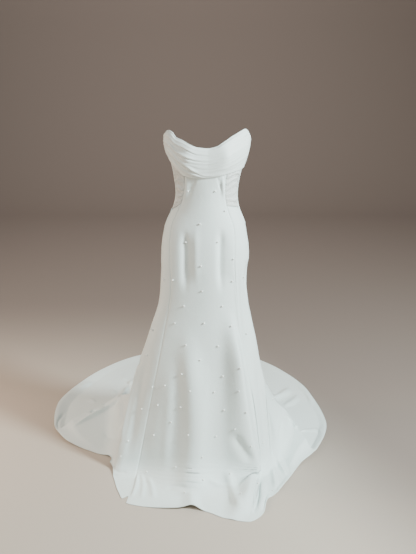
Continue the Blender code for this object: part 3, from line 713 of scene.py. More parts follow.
def hem_lift(station, path):
    share = -path / strip_length(station)
    lift = smooth(LIFT["station"], LIFT["lift"], station, ROUND)
    return lift * ease((share - HEM_LIFT_START) / (1 - HEM_LIFT_START))


def dress_point(station, path):
    """The outer face of the dress."""
    station = turned(station)
    point = soft_point(station, path)
    push = fold_height(station, path)
    point = point + push[..., None] * normal_of(soft_point, station, path)
    point[..., 2] += ridge_height(station, path) + hem_lift(station, path)
    point[..., 2] = np.maximum(point[..., 2], CREPE_WALL + FLOOR_GAP) - WAIST_HEIGHT
    return point


print(len(FOLDS) + len(LEANING), "long folds,", len(CREASES), "train creases")


# %% [markdown]
# ## Small folds
#
# Long folds make the silhouette, but small ones make it cloth: puckers beside a seam, the buckle
# where the skirt breaks on the floor, wrinkles left in the train. Each is a stroke along the
# cloth, given by a few places on it, with a width and a depth in metres. The stroke fades at both
# ends, as a real crease does.

# %% The plain surface, for finding where a crease lies
def plain_tree():
    """A search tree of the dress without its small folds."""
    stations, levels = np.linspace(-3, 3, 181), np.linspace(0, 4, 161)
    station, level = np.meshgrid(stations, levels, indexing="ij")
    points = dress_point(station, path_of(station, level))
    index = np.arange(points[..., 0].size).reshape(len(stations), len(levels))
    corners = (index[:-1, :-1], index[:-1, 1:], index[1:, 1:], index[1:, :-1])
    faces = np.stack(corners, axis=-1).reshape(-1, 4)
    return BVHTree.FromPolygons(points.reshape(-1, 3).tolist(), faces.tolist())


plain = plain_tree()


def rounded(knots, count=10):
    """A smooth line through a few knots."""
    knots = np.array(knots, float)
    along = np.linspace(0, len(knots) - 1, count * (len(knots) - 1) + 1)
    whole = np.arange(len(knots), dtype=float)
    return np.stack([smooth(whole, knots[:, k], along) for k in range(knots.shape[1])], axis=-1)


def seen_line(pixels):
    """A line drawn over the picture, laid on the cloth."""
    hits = [plain.ray_cast(CAMERA_PLACE, line_of_sight(*pixel))[0] for pixel in rounded(pixels)]
    return np.array([hit for hit in hits if hit is not None])


def cloth_line(places):
    """A line from stations and paths, for the sides that the picture doesn't show."""
    station, path = rounded(places).T
    return dress_point(station, path)


# %% Creases
SEEN_CREASES = (  # width, depth, and places in the picture
    # Under the cowl, where the princess seams pull.
    (0.0050, 0.0030, (187, 175), (186.5, 184), (183.5, 198)),
    (0.0045, -0.0024, (197, 177), (192.5, 186), (188, 195)),
    (0.0050, 0.0032, (222, 174), (223, 185), (224.5, 199)),
    (0.0040, -0.0024, (216.5, 175), (219.5, 184), (221.5, 193)),
    (0.0080, -0.0030, (230, 177), (229, 190), (227, 201)),
    # Hips: two hollows and the fuller cloth beside them.
    (0.0140, -0.0100, (184.5, 228), (185, 257), (185, 296)),
    (0.0130, -0.0120, (221.5, 226), (221, 257), (221.5, 296)),
    (0.0130, 0.0035, (196, 222), (196, 255), (196, 292)),
    (0.0120, -0.0030, (164, 243), (158, 290), (151, 345)),
    (0.0050, -0.0045, (246.5, 258), (244.5, 276), (243.5, 296)),
    (0.0055, 0.0032, (234.6, 240), (236, 288), (240, 330), (245, 362), (247.5, 385)),
    # Long soft folds down the front.
    (0.0120, 0.0050, (250, 372), (255, 413), (259, 445), (260, 470)),
    (0.0200, 0.0050, (172, 360), (168, 420), (164, 474)),
    # Where the skirt breaks on the floor.
    (0.0200, -0.0130, (232, 432), (243, 450), (254, 466)),
    (0.0060, 0.0080, (138, 473), (136, 485), (131, 499)),
    (0.0060, 0.0070, (141, 473), (143, 486), (141, 500)),
    (0.0090, 0.0070, (147, 476), (152, 488), (154, 501)),
    (0.0070, -0.0040, (113.5, 470), (120, 472), (128, 472)),
    (0.0160, 0.0160, (262, 478), (262, 498), (258, 514)),
    (0.0060, 0.0110, (258, 476), (255, 494), (250, 514)),
    (0.0160, 0.0110, (226, 468), (232, 488), (242, 510)),
    (0.0100, 0.0100, (272, 466), (274, 478), (276, 490)),
    (0.0100, 0.0050, (205, 478), (222, 486), (240, 488)),
    (0.0080, -0.0045, (165, 490), (176, 486), (190, 489)),
    (0.0070, 0.0100, (272.5, 454), (280, 466), (288, 479)),
    (0.0100, -0.0060, (262, 384), (267, 410), (271, 440), (272, 465)),
    # The left train: the crest of its raised fold, and wrinkles.
    (0.0090, 0.0130, (140, 370), (127, 388), (116, 402), (98, 412), (82, 421), (68, 429)),
    (0.0120, -0.0170, (133, 374), (114, 395), (96, 404), (78, 413)),
    (0.0130, -0.0090, (102, 432), (112, 437), (123, 439)),
    (0.0060, -0.0050, (65, 412), (58, 423), (60, 435)),
    (0.0100, -0.0150, (82, 389), (94, 398), (107, 407)),
    (0.0100, -0.0140, (104, 382), (113, 388), (123, 395)),
    (0.0090, -0.0140, (121, 378), (126, 383), (130, 388)),
    (0.0090, -0.0110, (82, 411), (90, 412), (99, 410)),
    (0.0090, 0.0110, (78, 387), (86, 385), (93, 383)),
    (0.0080, -0.0080, (133, 367), (137, 364), (142, 361)),
    (0.0160, 0.0180, (118, 399), (122, 410), (121, 423), (113, 438)),
    # The right train: its raised fold, the curl at its hem, and wrinkles.
    (0.0080, 0.0100, (286, 414), (293, 424), (301, 434), (308, 441)),
    (0.0120, -0.0130, (292, 412), (301, 422), (310, 431)),
    (0.0060, 0.0100, (298, 432), (308, 430), (317, 430), (324, 434)),
    (0.0070, -0.0120, (304, 435), (312, 434), (321, 431)),
    (0.0080, -0.0060, (281, 446), (280, 433), (283, 422)),
    (0.0095, -0.0150, (264, 386), (271, 379), (282, 378), (294, 379)),
    (0.0095, -0.0150, (273, 395), (283, 388), (293, 380)),
    (0.0080, 0.0050, (300, 388), (308, 396), (313, 408)),
)
HIDDEN_CREASES = (  # width, depth, and places as station and height or length past the foot
    (0.0160, -0.0060, (-2.45, 1.00), (-2.40, 0.90), (-2.38, 0.74)),
    (0.0160, -0.0060, (2.45, 1.00), (2.40, 0.90), (2.38, 0.74)),
    (0.0120, 0.0040, (2.62, 0.98), (2.60, 0.86), (2.58, 0.70)),
    (0.0200, -0.0090, (-2.80, 0.62), (-2.78, 0.30), (-2.76, 0.04)),
    (0.0200, -0.0090, (2.80, 0.62), (2.82, 0.30), (2.82, 0.04)),
    (0.0100, -0.0060, (-2.93, -0.06), (-2.88, -0.22), (-2.90, -0.36)),
    (0.0100, 0.0060, (2.94, -0.10), (2.90, -0.26), (2.93, -0.42)),
    (0.0090, -0.0060, (2.78, -0.04), (2.84, -0.16), (2.82, -0.30)),
    (0.0090, 0.0050, (-2.78, -0.06), (-2.72, -0.18), (-2.76, -0.30)),
    (0.0080, -0.0050, (-2.98, 0.18), (-2.90, 0.10), (-2.80, 0.06)),
    (0.0080, 0.0050, (2.98, 0.16), (2.90, 0.11), (2.82, 0.04)),
    (0.0070, -0.0030, (-2.30, 1.19), (-2.45, 1.16), (-2.62, 1.15)),
    (0.0070, -0.0030, (2.32, 1.18), (2.48, 1.155), (2.66, 1.15)),
    (0.0070, 0.0025, (-2.25, 1.13), (-2.42, 1.12), (-2.60, 1.125)),
)


def crease_relief(points, line, width, depth):
    """How far one crease pushes each point out. It fades at both ends."""
    relief = np.zeros(points.shape[:-1])
    low, high = line.min(axis=0) - 3 * width, line.max(axis=0) + 3 * width
    near = np.all((points > low) & (points < high), axis=-1)
    spots = points[near]
    if not len(spots):
        return relief
    best = np.full(len(spots), 1e9)
    share = np.zeros(len(spots))
    for k, (start, end) in enumerate(zip(line, line[1:])):
        way = end - start
        t = np.clip(((spots - start) @ way) / max(way @ way, 1e-12), 0, 1)
        gap = np.linalg.norm(spots - (start + t[:, None] * way), axis=-1)
        closer = gap < best
        best = np.where(closer, gap, best)
        share = np.where(closer, (k + t) / (len(line) - 1), share)
    relief[near] = depth * tapered(share, 0.3, 0.3) * bell(best, width)
    return relief


crease_lines = [(seen_line(places), width, depth) for width, depth, *places in SEEN_CREASES]
crease_lines += [(cloth_line(places), width, depth) for width, depth, *places in HIDDEN_CREASES]


def creased(points):
    return sum(crease_relief(points, line, width, depth) for line, width, depth in crease_lines)


print(len(crease_lines), "creases")


# %% Unevenness
RIPPLES = 7
RIPPLE_SIZE = 0.16
RIPPLE_SEED = 5
UNEVEN = 0.0010


def ripple(points):
    """A soft unevenness about 1 high, from a few waves in fixed directions."""
    random = np.random.default_rng(RIPPLE_SEED)
    total = np.zeros(points.shape[:-1])
    for _ in range(RIPPLES):
        way = random.normal(size=3)
        way *= 2 * math.pi / RIPPLE_SIZE / np.linalg.norm(way) * random.uniform(0.7, 1.4)
        total += np.sin(points @ way + random.uniform(0, 6.28))
    return total / RIPPLES


# %% [markdown]
# ## From a grid of points to a sheet of cloth
#
# A cut piece is a grid: stations across, levels down. Its UV map holds lengths along the cloth in
# metres, so the weave keeps its size everywhere. Near its sewn edges the cloth is drawn in by the
# seam, which leaves the fine groove that shows where two panels meet.


# %% Sheets
def spaced(start, end, count):
    return [start + (end - start) * k / count for k in range(count + 1)]


def lengths(points, axis):
    """Length along the cloth from the first line of the grid."""
    step = np.linalg.norm(np.diff(points, axis=axis), axis=-1)
    start = np.zeros_like(np.take(step, [0], axis=axis))
    return np.concatenate([start, np.cumsum(step, axis=axis)], axis=axis)


def grid_normal(points):
    """Unit normals of a grid of points, out of the dress."""
    normal = np.cross(np.gradient(points, axis=1), np.gradient(points, axis=0))
    return normal / np.maximum(np.linalg.norm(normal, axis=-1, keepdims=True), 1e-12)


def sheet_from(name, points, material, wall):
    """A mesh from a grid of points, with its grain as UVs and its thickness going inwards."""
    across, down = points.shape[:2]
    u, v = lengths(points, 0), lengths(points, 1)
    u = u - u[across // 2][None, :]
    index = np.arange(across * down).reshape(across, down)
    corners = (index[:-1, :-1], index[:-1, 1:], index[1:, 1:], index[1:, :-1])
    faces = np.stack(corners, axis=-1).reshape(-1, 4)
    data = bpy.data.meshes.new(name)
    data.from_pydata(points.reshape(-1, 3).tolist(), [], faces.tolist())
    grain = data.uv_layers.new(name="grain")
    place = np.stack([u, -v], axis=-1).reshape(-1, 2)[faces.reshape(-1)]
    grain.data.foreach_set("uv", place.astype(np.float32).reshape(-1))
    data.shade_smooth()
    data.materials.append(material)
    piece = bpy.data.objects.new(name, data)
    scene.collection.objects.link(piece)
    thickness = piece.modifiers.new("thickness", "SOLIDIFY")
    thickness.thickness = wall
    thickness.offset = -1
    thickness.use_even_offset = False
    return piece


SEAM_DEPTH = 0.0017
SEAM_WIDTH = 0.0030


def seam_groove(points, edges):
    """How far the cloth is drawn in beside its sewn edges: first and last station, first level."""
    u, v = lengths(points, 0), lengths(points, 1)
    groove = np.zeros(points.shape[:2])
    for sewn, off in zip(edges, (u, u[-1][None, :] - u, v)):
        if sewn:
            groove = groove - SEAM_DEPTH * bell(off, SEAM_WIDTH)
    return groove


def near_edges(stations):
    """Adds lines of points close to each end, for the seam's groove."""
    first, last = min(stations), max(stations)
    wide = last - first
    extra = [wide * share for share in (0.003, 0.008, 0.016, 0.03)]
    extra = [first + off for off in extra] + [last - off for off in extra]
    return np.array(sorted(set(stations) | set(extra)))


SHORT_REACH = 0.32  # stations over which a piece is cut shorter


def surface(points):
    """Area of a grid of points."""
    a = points[1:, 1:] - points[:-1, :-1]
    b = points[1:, :-1] - points[:-1, 1:]
    return float(np.linalg.norm(np.cross(a, b), axis=-1).sum() / 2)


def measured(name, points):
    """Prints how wide and long a piece is along its cloth, and its area."""
    wide = np.linalg.norm(np.diff(points, axis=0), axis=-1).sum(axis=0).max()
    long = np.linalg.norm(np.diff(points, axis=1), axis=-1).sum(axis=1).max()
    sizes = (round(wide, 3), "wide", round(long, 3), "long", round(surface(points), 3), "area")
    print(name, points.shape[:2], *sizes)


def cut_piece(name, stations, levels, edges, short=0.0):
    """One crepe piece with its small folds and seam grooves, cut shorter beside its last station."""
    station, level = np.meshgrid(near_edges(stations), np.array(levels), indexing="ij")
    cut_off = short * ease(1 - np.abs(station - max(stations)) / SHORT_REACH)
    level = np.where(level > 3, 3 + (level - 3) * (1 - cut_off), level)
    path = path_of(station, level)
    points = dress_point(station, path)
    relief = seam_groove(points, edges) + UNEVEN * ripple(points) + creased(points)
    points = points + relief[..., None] * grid_normal(points)
    points[..., 2] = np.maximum(points[..., 2], CREPE_WALL + FLOOR_GAP - WAIST_HEIGHT)
    piece = sheet_from(name, points, crepe, CREPE_WALL)
    measured(name, points)
    return piece, points[:, -1].copy()


# %% [markdown]
# ## The skirt and the backs
#
# The front runs from the top edge to the hem, under the cowl. The side fronts start at the waist
# seam. The backs are the two large pieces of the train.

# %% Crepe pieces
BODICE_LEVELS = spaced(0, 1, 26)[:-1]
HIP_LEVELS = spaced(1, 2, 54)
FALL_LEVELS = spaced(2, 2.86, 50)[1:] + spaced(2.86, 3, 16)[1:]
FLOOR_LEVELS = spaced(3, 3.3, 14)[1:] + spaced(3.3, 4, 26)[1:]
SKIRT_LEVELS = HIP_LEVELS + FALL_LEVELS + FLOOR_LEVELS
FULL_LEVELS = BODICE_LEVELS + SKIRT_LEVELS

front, hem_front = cut_piece("front", spaced(-1, 1, 84), FULL_LEVELS, (True, True, False))
side_front_left, hem_side_left = cut_piece(
    "side_front_left_cloth",
    spaced(-2, -1, 34),
    SKIRT_LEVELS,
    (True, True, True),
    short=0.20,
)
side_front_right, hem_side_right = cut_piece(
    "side_front_right_cloth",
    spaced(1, 2, 34),
    SKIRT_LEVELS,
    (True, True, True),
)
BACK_STATIONS = spaced(2, 3, 150) + spaced(2.325, 2.455, 39)
BACK_LEVELS = spaced(0, 1, 16) + spaced(1, 2, 36)[1:] + spaced(2, 2.86, 34)[1:]
BACK_LEVELS += spaced(2.86, 3, 14)[1:] + spaced(3, 3.3, 26)[1:] + spaced(3.3, 4, 44)[1:]
back_left, hem_back_left = cut_piece(
    "back_left_cloth",
    [-station for station in BACK_STATIONS],
    BACK_LEVELS,
    (True, True, False),
)
back_right, hem_back_right = cut_piece(
    "back_right_cloth",
    BACK_STATIONS,
    BACK_LEVELS,
    (True, True, False),
)

# %% [markdown]
# ## Ruched side panels
#
# The tulle is cut a third longer than its space and gathered into both seams. The gathers run
# across the panel and never line up from one side to the other: some fork, some fade out. Waves
# with a wandering phase do that without any of them crossing.

# %% Ruched tulle
GATHERS = 11  # from the top edge to the waist
GATHER_DEPTH = 0.0058
TULLE_WALL = 0.0009


def gathers(station, level, side):
    """Uneven folds across the panel: some fork, some fade, none line up from side to side."""
    turn = np.abs(station) - 1
    drift = 0.22 * np.sin(2.7 * turn + 6 * level + 2 * side) + 0.16 * np.sin(15 * level - 4 * turn)
    phase = GATHERS * (level + 0.07 * (turn - 0.5)) + drift
    ridge = (0.5 + 0.5 * np.cos(2 * math.pi * phase)) ** 1.7
    strength = 0.65 + 0.35 * np.sin(11 * level + 3 * turn + side)
    fine = 0.5 + 0.5 * np.cos(2 * math.pi * (2.3 * phase + 1.7 * turn))
    across = 0.12 + 0.88 * np.sin(math.pi * np.clip(turn, 0, 1)) ** 0.5
    return (ridge * strength + fine * 0.18) * across * ease((1 - level) / 0.04)


def ruched_panel(name, side):
    stations = near_edges(sorted(side * s for s in spaced(1, 2, 40)))
    station, level = np.meshgrid(stations, np.array(spaced(0, 1, 190)), indexing="ij")
    path = path_of(station, level)
    points = dress_point(station, path)
    normal = grid_normal(points)
    shown = ease((level - 0.3) / 0.2)  # flat under the cowl
    relief = GATHER_DEPTH * gathers(station, level, side) * shown
    relief = relief + seam_groove(points, (True, True, False))
    points = points + relief[..., None] * normal
    measured(name, points)
    return sheet_from(name, points, tulle, TULLE_WALL)


ruched_left = ruched_panel("ruched_left", -1)
ruched_right = ruched_panel("ruched_right", 1)

# %% [markdown]
# ## The cowl
#
# A cowl is cut on the bias and wider than the bust, and its slack is taken up in tucks at both
# armpits. On the left they are deep and run down to the front; on the right they fan out and
# almost vanish. Each tuck is a line from side to side: the cloth above it hangs over in a soft
# lip, and a groove lies under the lip. The top edge rolls over the bodice to the inside.

# %% The cowl's tables
COWL_COLUMNS = ("station", "bottom")
COWL = (
    (-2.00, 1.306),
    (-1.77, 1.265),
    (-1.40, 1.241),
    (-1.00, 1.219),
    (-0.30, 1.215),
    (0.00, 1.216),
    (0.50, 1.221),
    (1.05, 1.228),
    (1.65, 1.236),
    (2.00, 1.242),
)
BUST = columns(COWL, COWL_COLUMNS)
TUCK_STATIONS = (-2.0, -1.0, 0.0, 1.0, 2.0)
TUCKS = (  # shares of the way down, and depths, at the five stations
    ((0.14, 0.20, 0.24, 0.21, 0.09), (0.0022, 0.0028, 0.0007, 0.0004, 0.0004)),
    ((0.32, 0.42, 0.42, 0.36, 0.21), (0.0034, 0.0036, 0.0009, 0.0006, 0.0004)),
    ((0.40, 0.51, 0.56, 0.52, 0.34), (0.0008, 0.0008, 0.0005, 0.0006, 0.0005)),
    ((0.46, 0.57, 0.69, 0.67, 0.48), (0.0004, 0.0006, 0.0007, 0.0005, 0.0004)),
    ((0.52, 0.63, 0.94, 0.97, 0.92), (0.0038, 0.0046, 0.0016, 0.0, 0.0)),
    ((0.56, 0.70, 0.82, 0.81, 0.64), (0.0002, 0.0004, 0.0005, 0.0006, 0.0004)),
    ((0.74, 0.81, 1.02, 1.04, 1.02), (0.0036, 0.0040, 0.0002, 0.0, 0.0)),
)
COWL_GAP = 0.0012
COWL_RISE = 0.0040
COWL_DRAPE = 0.0040
COWL_OVERTOP = 0.0016
COWL_WALL = 0.0012
LIP_OFF = 0.0050  # of a tuck's ridge above its line
LIP_WIDTH = 0.0060
GROOVE_WIDTH = 0.0026
PLEATS = (  # fine folds: start and end station, share at start, middle and end, width, depth
    (-2.0, -0.60, 0.22, 0.33, 0.40, 0.0035, 0.0011),
    (-1.9, 0.30, 0.27, 0.52, 0.50, 0.0032, -0.0009),
    (-1.7, -0.20, 0.52, 0.66, 0.76, 0.0034, 0.0012),
    (-1.6, 0.10, 0.62, 0.78, 0.87, 0.0030, -0.0010),
    (-1.3, 0.60, 0.78, 0.90, 0.93, 0.0030, 0.0009),
    (-1.9, -0.90, 0.66, 0.74, 0.79, 0.0032, 0.0012),
    (-0.4, 2.00, 0.30, 0.33, 0.13, 0.0032, -0.0007),
    (-0.6, 2.00, 0.50, 0.47, 0.27, 0.0030, 0.0008),
    (-0.2, 2.00, 0.63, 0.60, 0.41, 0.0028, -0.0008),
    (0.1, 2.00, 0.76, 0.74, 0.56, 0.0030, 0.0008),
    (0.4, 2.00, 0.88, 0.87, 0.74, 0.0030, -0.0007),
    (0.9, 2.00, 0.20, 0.12, 0.05, 0.0034, 0.0007),
)
print(len(TUCKS), "tucks,", len(PLEATS), "fine pleats")


# %% The cowl
def across_cowl(values, station):
    return smooth(TUCK_STATIONS, values, station)


def tuck_relief(station, share):
    """Tucks: over each line the cloth hangs in a soft lip with a sharp groove under it."""
    relief = np.zeros_like(share)
    tall = edge("top", station) - smooth(BUST["station"], BUST["bottom"], station)
    for k, (line, depth) in enumerate(TUCKS):
        wander = 0.008 * np.sin(3.7 * station + 2.1 * k) + 0.005 * np.sin(8.3 * station + 1.3 * k)
        off = (share - across_cowl(line, station) - wander) * tall
        soft = 1 + 0.8 * ease((station + 1) / 2)  # the tucks die out to the right
        lip = bell((off + LIP_OFF) / LIP_WIDTH, soft)
        groove = bell(off / GROOVE_WIDTH, soft)
        relief = relief + across_cowl(depth, station) * (lip - 0.8 * groove)
    for start, end, first, middle, last, width, depth in PLEATS:
        t = (station - start) / (end - start)
        line = smooth((0.0, 0.5, 1.0), (first, middle, last), t)
        relief = relief + depth * tapered(t, 0.35, 0.35) * bell((share - line) * tall, width)
    return relief


def cowl_face(station, share):
    """Outer face of the cowl, and its normal."""
    top = edge("top", station) + COWL_OVERTOP
    bottom = smooth(BUST["station"], BUST["bottom"], station)
    path = top + (bottom - top) * share
    points = dress_point(station, path)
    normal = grid_normal(points)
    belly = np.sin(math.pi * np.clip(share, 0, 1)) * (1 - (np.abs(station) / 2) ** 2)
    off = COWL_GAP + COWL_WALL + COWL_DRAPE * belly
    off = off + tapered(share, 0.06, 0.04) * (COWL_RISE + tuck_relief(station, share))
    return points + off[..., None] * normal, normal


ROLL_RADIUS = 0.0026
ROLL_TAIL = 0.008  # how far the rolled edge goes down inside
ROLL_TURNS = (-20, 20, 60, 90, 120, 150, 180)  # degrees round the roll


def cowl_sheet():
    stations = np.array(spaced(-2, 2, 220))
    station, share = np.meshgrid(stations, np.array(spaced(0, 1, 120)), indexing="ij")
    face, normal = cowl_face(station, share)
    edge_point, edge_normal = face[:, 0], normal[:, 0]
    rows = []
    for turn in np.radians(ROLL_TURNS):
        out = edge_normal * (math.cos(turn) - 1) * ROLL_RADIUS
        up = np.array([0, 0, 1]) * math.sin(max(turn, 0)) * ROLL_RADIUS
        rows.append(edge_point + out + up)
    tail = rows[-1] - np.array([0, 0, ROLL_TAIL])
    rolled = np.stack([tail] + rows[:0:-1], axis=1)
    points = np.concatenate([rolled, face], axis=1)
    measured("cowl", points)
    return sheet_from("cowl_cloth", points, organza, COWL_WALL)


cowl = cowl_sheet()

# %% [markdown]
# ## Repeated things, with Geometry Nodes
#
# The hem's narrow roll, the pearls and the zip's teeth all repeat or follow a line. One helper
# makes a node tree with named sizes, a second runs it on a plain carrier mesh and keeps the
# result as an ordinary mesh, because the export drops instances.


# %% Growing a mesh with a node tree
def geometry_tree(name, sizes):
    """An empty tree with a geometry input and output and named sizes."""
    tree = bpy.data.node_groups.new(name, "GeometryNodeTree")
    sockets = tree.interface
    sockets.new_socket("Geometry", in_out="INPUT", socket_type="NodeSocketGeometry")
    for size in sizes:
        sockets.new_socket(size, in_out="INPUT", socket_type="NodeSocketFloat")
    sockets.new_socket("Geometry", in_out="OUTPUT", socket_type="NodeSocketGeometry")
    return tree, tree.nodes.new("NodeGroupInput"), tree.nodes.new("NodeGroupOutput")


def add(tree, kind, links=None, **values):
    """A node with some inputs linked and some set."""
    node = tree.nodes.new(kind)
    for key, value in values.items():
        name = key.replace("_", " ")
        if name in node.inputs:
            node.inputs[name].default_value = value
        else:
            setattr(node, key, value)
    for key, socket in (links or {}).items():
        tree.links.new(socket, node.inputs[key])
    return node


def finish_tree(tree, geometry, material, output):
    """Every tree ends in real geometry with its finish on it."""
    real = add(tree, "GeometryNodeRealizeInstances", {0: geometry})
    smoothed = add(tree, "GeometryNodeSetShadeSmooth", {0: real.outputs[0]})
    painted = add(tree, "GeometryNodeSetMaterial", {0: smoothed.outputs[0]}, Material=material)
    tree.links.new(painted.outputs[0], output.inputs[0])


def grown(name, points, edges, tree, sizes, outward=None):
    """Runs a tree on a carrier of points and edges, and keeps the result as a plain mesh."""
    carrier = bpy.data.meshes.new(name + "_carrier")
    carrier.from_pydata([tuple(p) for p in points], edges, [])
    if outward is not None:
        attribute = carrier.attributes.new("outward", "FLOAT_VECTOR", "POINT")
        attribute.data.foreach_set("vector", np.array(outward, np.float32).reshape(-1))
    piece = bpy.data.objects.new(name, carrier)
    scene.collection.objects.link(piece)
    modifier = piece.modifiers.new("grow", "NODES")
    modifier.node_group = tree
    for item in tree.interface.items_tree:
        if item.in_out == "INPUT" and item.name in sizes:
            modifier[item.identifier] = sizes[item.name]
    graph = bpy.context.evaluated_depsgraph_get()
    result = bpy.data.meshes.new_from_object(piece.evaluated_get(graph))
    piece.modifiers.clear()
    piece.data = result
    result.name = name
    bpy.data.meshes.remove(carrier)
    print(name, len(result.polygons), "faces")
    return piece


# %% [markdown]
# A rolled hem is the cloth's edge turned twice and stitched down, a cord about three millimetres
# thick. A tube swept along the edge is that, and it keeps clear of the floor.


# %% Rolled hems
def rolled_tree(material):
    tree, given, output = geometry_tree("rolled edge", ("Radius",))
    line = add(tree, "GeometryNodeMeshToCurve", {0: given.outputs[0]})
    ring = add(tree, "GeometryNodeCurvePrimitiveCircle", {"Radius": given.outputs[1]}, Resolution=8)
    tube = add(
        tree,
        "GeometryNodeCurveToMesh",
        {"Curve": line.outputs[0], "Profile Curve": ring.outputs[0]},
        Fill_Caps=True,
    )
    finish_tree(tree, tube.outputs[0], material, output)
    return tree


HEM_RADIUS = 0.0017
rolled_edge = rolled_tree(crepe)


def chained(line):
    """Edges from each point of a line to the next."""
    return [(k, k + 1) for k in range(len(line) - 1)]


def rolled_hem(name, line):
    line = np.array(line)
    line[:, 2] = np.maximum(line[:, 2] - CREPE_WALL / 2, HEM_RADIUS + FLOOR_GAP - WAIST_HEIGHT)
    return grown(name, line, chained(line), rolled_edge, {"Radius": HEM_RADIUS})


HEM_LINES = {
    "hem_front": hem_front,
    "hem_side_left": hem_side_left,
    "hem_side_right": hem_side_right,
    "hem_back_left": hem_back_left,
    "hem_back_right": hem_back_right,
}
hems = [rolled_hem(name, line) for name, line in HEM_LINES.items()]

# %% [markdown]
# The backs' top edge is finished in the same way, with a finer roll.

# %% Rolled top edges of the backs
TOP_RADIUS = 0.0013
TOP_INSET = 0.0006  # from the outer face to the middle of the roll


def top_line(start, end):
    station = np.linspace(start, end, 60)
    path = edge("top", station)
    normal = normal_of(dress_point, station, path)
    return dress_point(station, path) - TOP_INSET * normal


top_edges = []
for name, start, end in (("top_edge_left", -3, -2), ("top_edge_right", 2, 3)):
    points = top_line(start, end)
    top_edges.append(grown(name, points, chained(points), rolled_edge, {"Radius": TOP_RADIUS}))

# %% [markdown]
# ## Pearls
#
# Pearl beads are sewn on one by one, in loose staggered rows about eleven centimetres apart. Those
# on the front are placed where they are seen in the picture: a line of sight goes out from the
# camera and stops on the cloth. The rows simply go on round the sides and the back.

# %% Where the pearls are
PEARL_RADIUS = 0.0036
PEARL_SEAT = 0.85  # how far its middle stands off the cloth, in radii
PEARLS_SEEN = (  # pixels across and down the picture, row by row
    ((188, 191), (215, 191), (224.5, 211), (200, 224), (186, 242), (217, 242)),
    ((233, 259), (201, 266), (164, 279.5), (173, 280), (232, 281), (243, 277)),
    ((202, 291), (184, 306), (222, 306), (175, 323), (204, 323), (231, 326)),
    ((246, 333.5), (152.5, 330), (147, 355), (186, 345), (218, 346), (200, 360)),
    ((182, 374), (223, 376), (240, 368), (165, 385.5), (152.5, 387), (190, 391)),
    ((214, 392), (239, 391), (158, 405), (142, 409), (181, 407), (224, 410)),
    ((246, 412), (171, 422), (235, 429), (154, 435), (188.5, 435), (216, 436)),
    ((128, 441), (251, 446), (262.5, 442.5), (202, 457), (121, 456), (176, 467)),
    ((147, 472), (230, 474), (203, 480), (185, 493), (241, 494), (258, 484)),
    ((273, 491), (272, 399)),
)


def tree_of(piece):
    """A search tree of a piece's own faces."""
    shape = bmesh.new()
    shape.from_mesh(piece.data)
    found = BVHTree.FromBMesh(shape)
    shape.free()
    return found


CREPE_PIECES = (front, side_front_left, side_front_right, back_left, back_right)


def seen_pearls():
    cloths = [tree_of(piece) for piece in CREPE_PIECES]
    places = []
    for across, down in (pixel for row in PEARLS_SEEN for pixel in row):
        hits = [cloth.ray_cast(CAMERA_PLACE, line_of_sight(across, down)) for cloth in cloths]
        hits = [hit for hit in hits if hit[0] is not None]
        if hits:
            point, normal, _, _ = min(hits, key=lambda hit: hit[3])
            places.append((point, normal))
    return places


BACK_ROWS = 9
BACK_TOP, BACK_BOTTOM = 1.14, 0.12  # heights of the first and last row of the back
BACK_STEP = 0.125  # between pearls of a row
BACK_SHIFT = 0.012  # how far a pearl may stray, in stations and in metres
BACK_START, TRAIN_START = 2.12, 2.5  # first station of a row above and below the train's top
TRAIN_TOP = 0.62


def back_pearls():
    random = np.random.default_rng(8)
    places = []
    for row in range(BACK_ROWS):
        height = BACK_TOP + (BACK_BOTTOM - BACK_TOP) * row / (BACK_ROWS - 1)
        start = BACK_START if height > TRAIN_TOP else TRAIN_START
        stations = np.linspace(start, ROUND - start, 300)
        ring = dress_point(stations, np.full_like(stations, height))
        along = np.concatenate([[0], np.cumsum(np.linalg.norm(np.diff(ring, axis=0), axis=1))])
        wanted = np.arange(BACK_STEP * (0.25 + 0.5 * (row % 2)), along[-1], BACK_STEP)
        strayed = random.uniform(-BACK_SHIFT, BACK_SHIFT, len(wanted))
        station = np.interp(wanted, along, stations) + strayed
        path = height + random.uniform(-BACK_SHIFT, BACK_SHIFT, len(wanted))
        points = dress_point(station, path)
        normals = normal_of(dress_point, turned(station), path)
        places += list(zip(map(Vector, points), map(Vector, normals)))
    return places


# %% Pearls
def pearl_tree(material):
    tree, given, output = geometry_tree("sewn pearls", ("Radius",))
    outward = add(tree, "GeometryNodeInputNamedAttribute", Name="outward", data_type="FLOAT_VECTOR")
    turn = add(tree, "FunctionNodeAlignRotationToVector", {"Vector": outward.outputs[0]}, axis="Z")
    bead = add(tree, "GeometryNodeMeshIcoSphere", {"Radius": given.outputs[1]}, Subdivisions=2)
    size = add(tree, "FunctionNodeRandomValue", Seed=4, data_type="FLOAT")
    size.inputs[2].default_value, size.inputs[3].default_value = 0.93, 1.05
    beads = add(
        tree,
        "GeometryNodeInstanceOnPoints",
        {
            "Points": given.outputs[0],
            "Instance": bead.outputs[0],
            "Rotation": turn.outputs[0],
            "Scale": size.outputs[1],
        },
    )
    finish_tree(tree, beads.outputs[0], material, output)
    return tree


pearl_places = seen_pearls() + back_pearls()
pearls = grown(
    "pearls",
    [point + normal * PEARL_RADIUS * PEARL_SEAT for point, normal in pearl_places],
    [],
    pearl_tree(pearl),
    {"Radius": PEARL_RADIUS},
    [normal for _, normal in pearl_places],
)
print(len(pearl_places), "pearls")

# %% [markdown]
# ## The zip
#
# An invisible zip hides its teeth inside the seam. They are a fine coil between the two tapes,
# which only shows from inside the dress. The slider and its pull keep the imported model's shape
# and get an enamel finish, and the tapes a ribbed one.

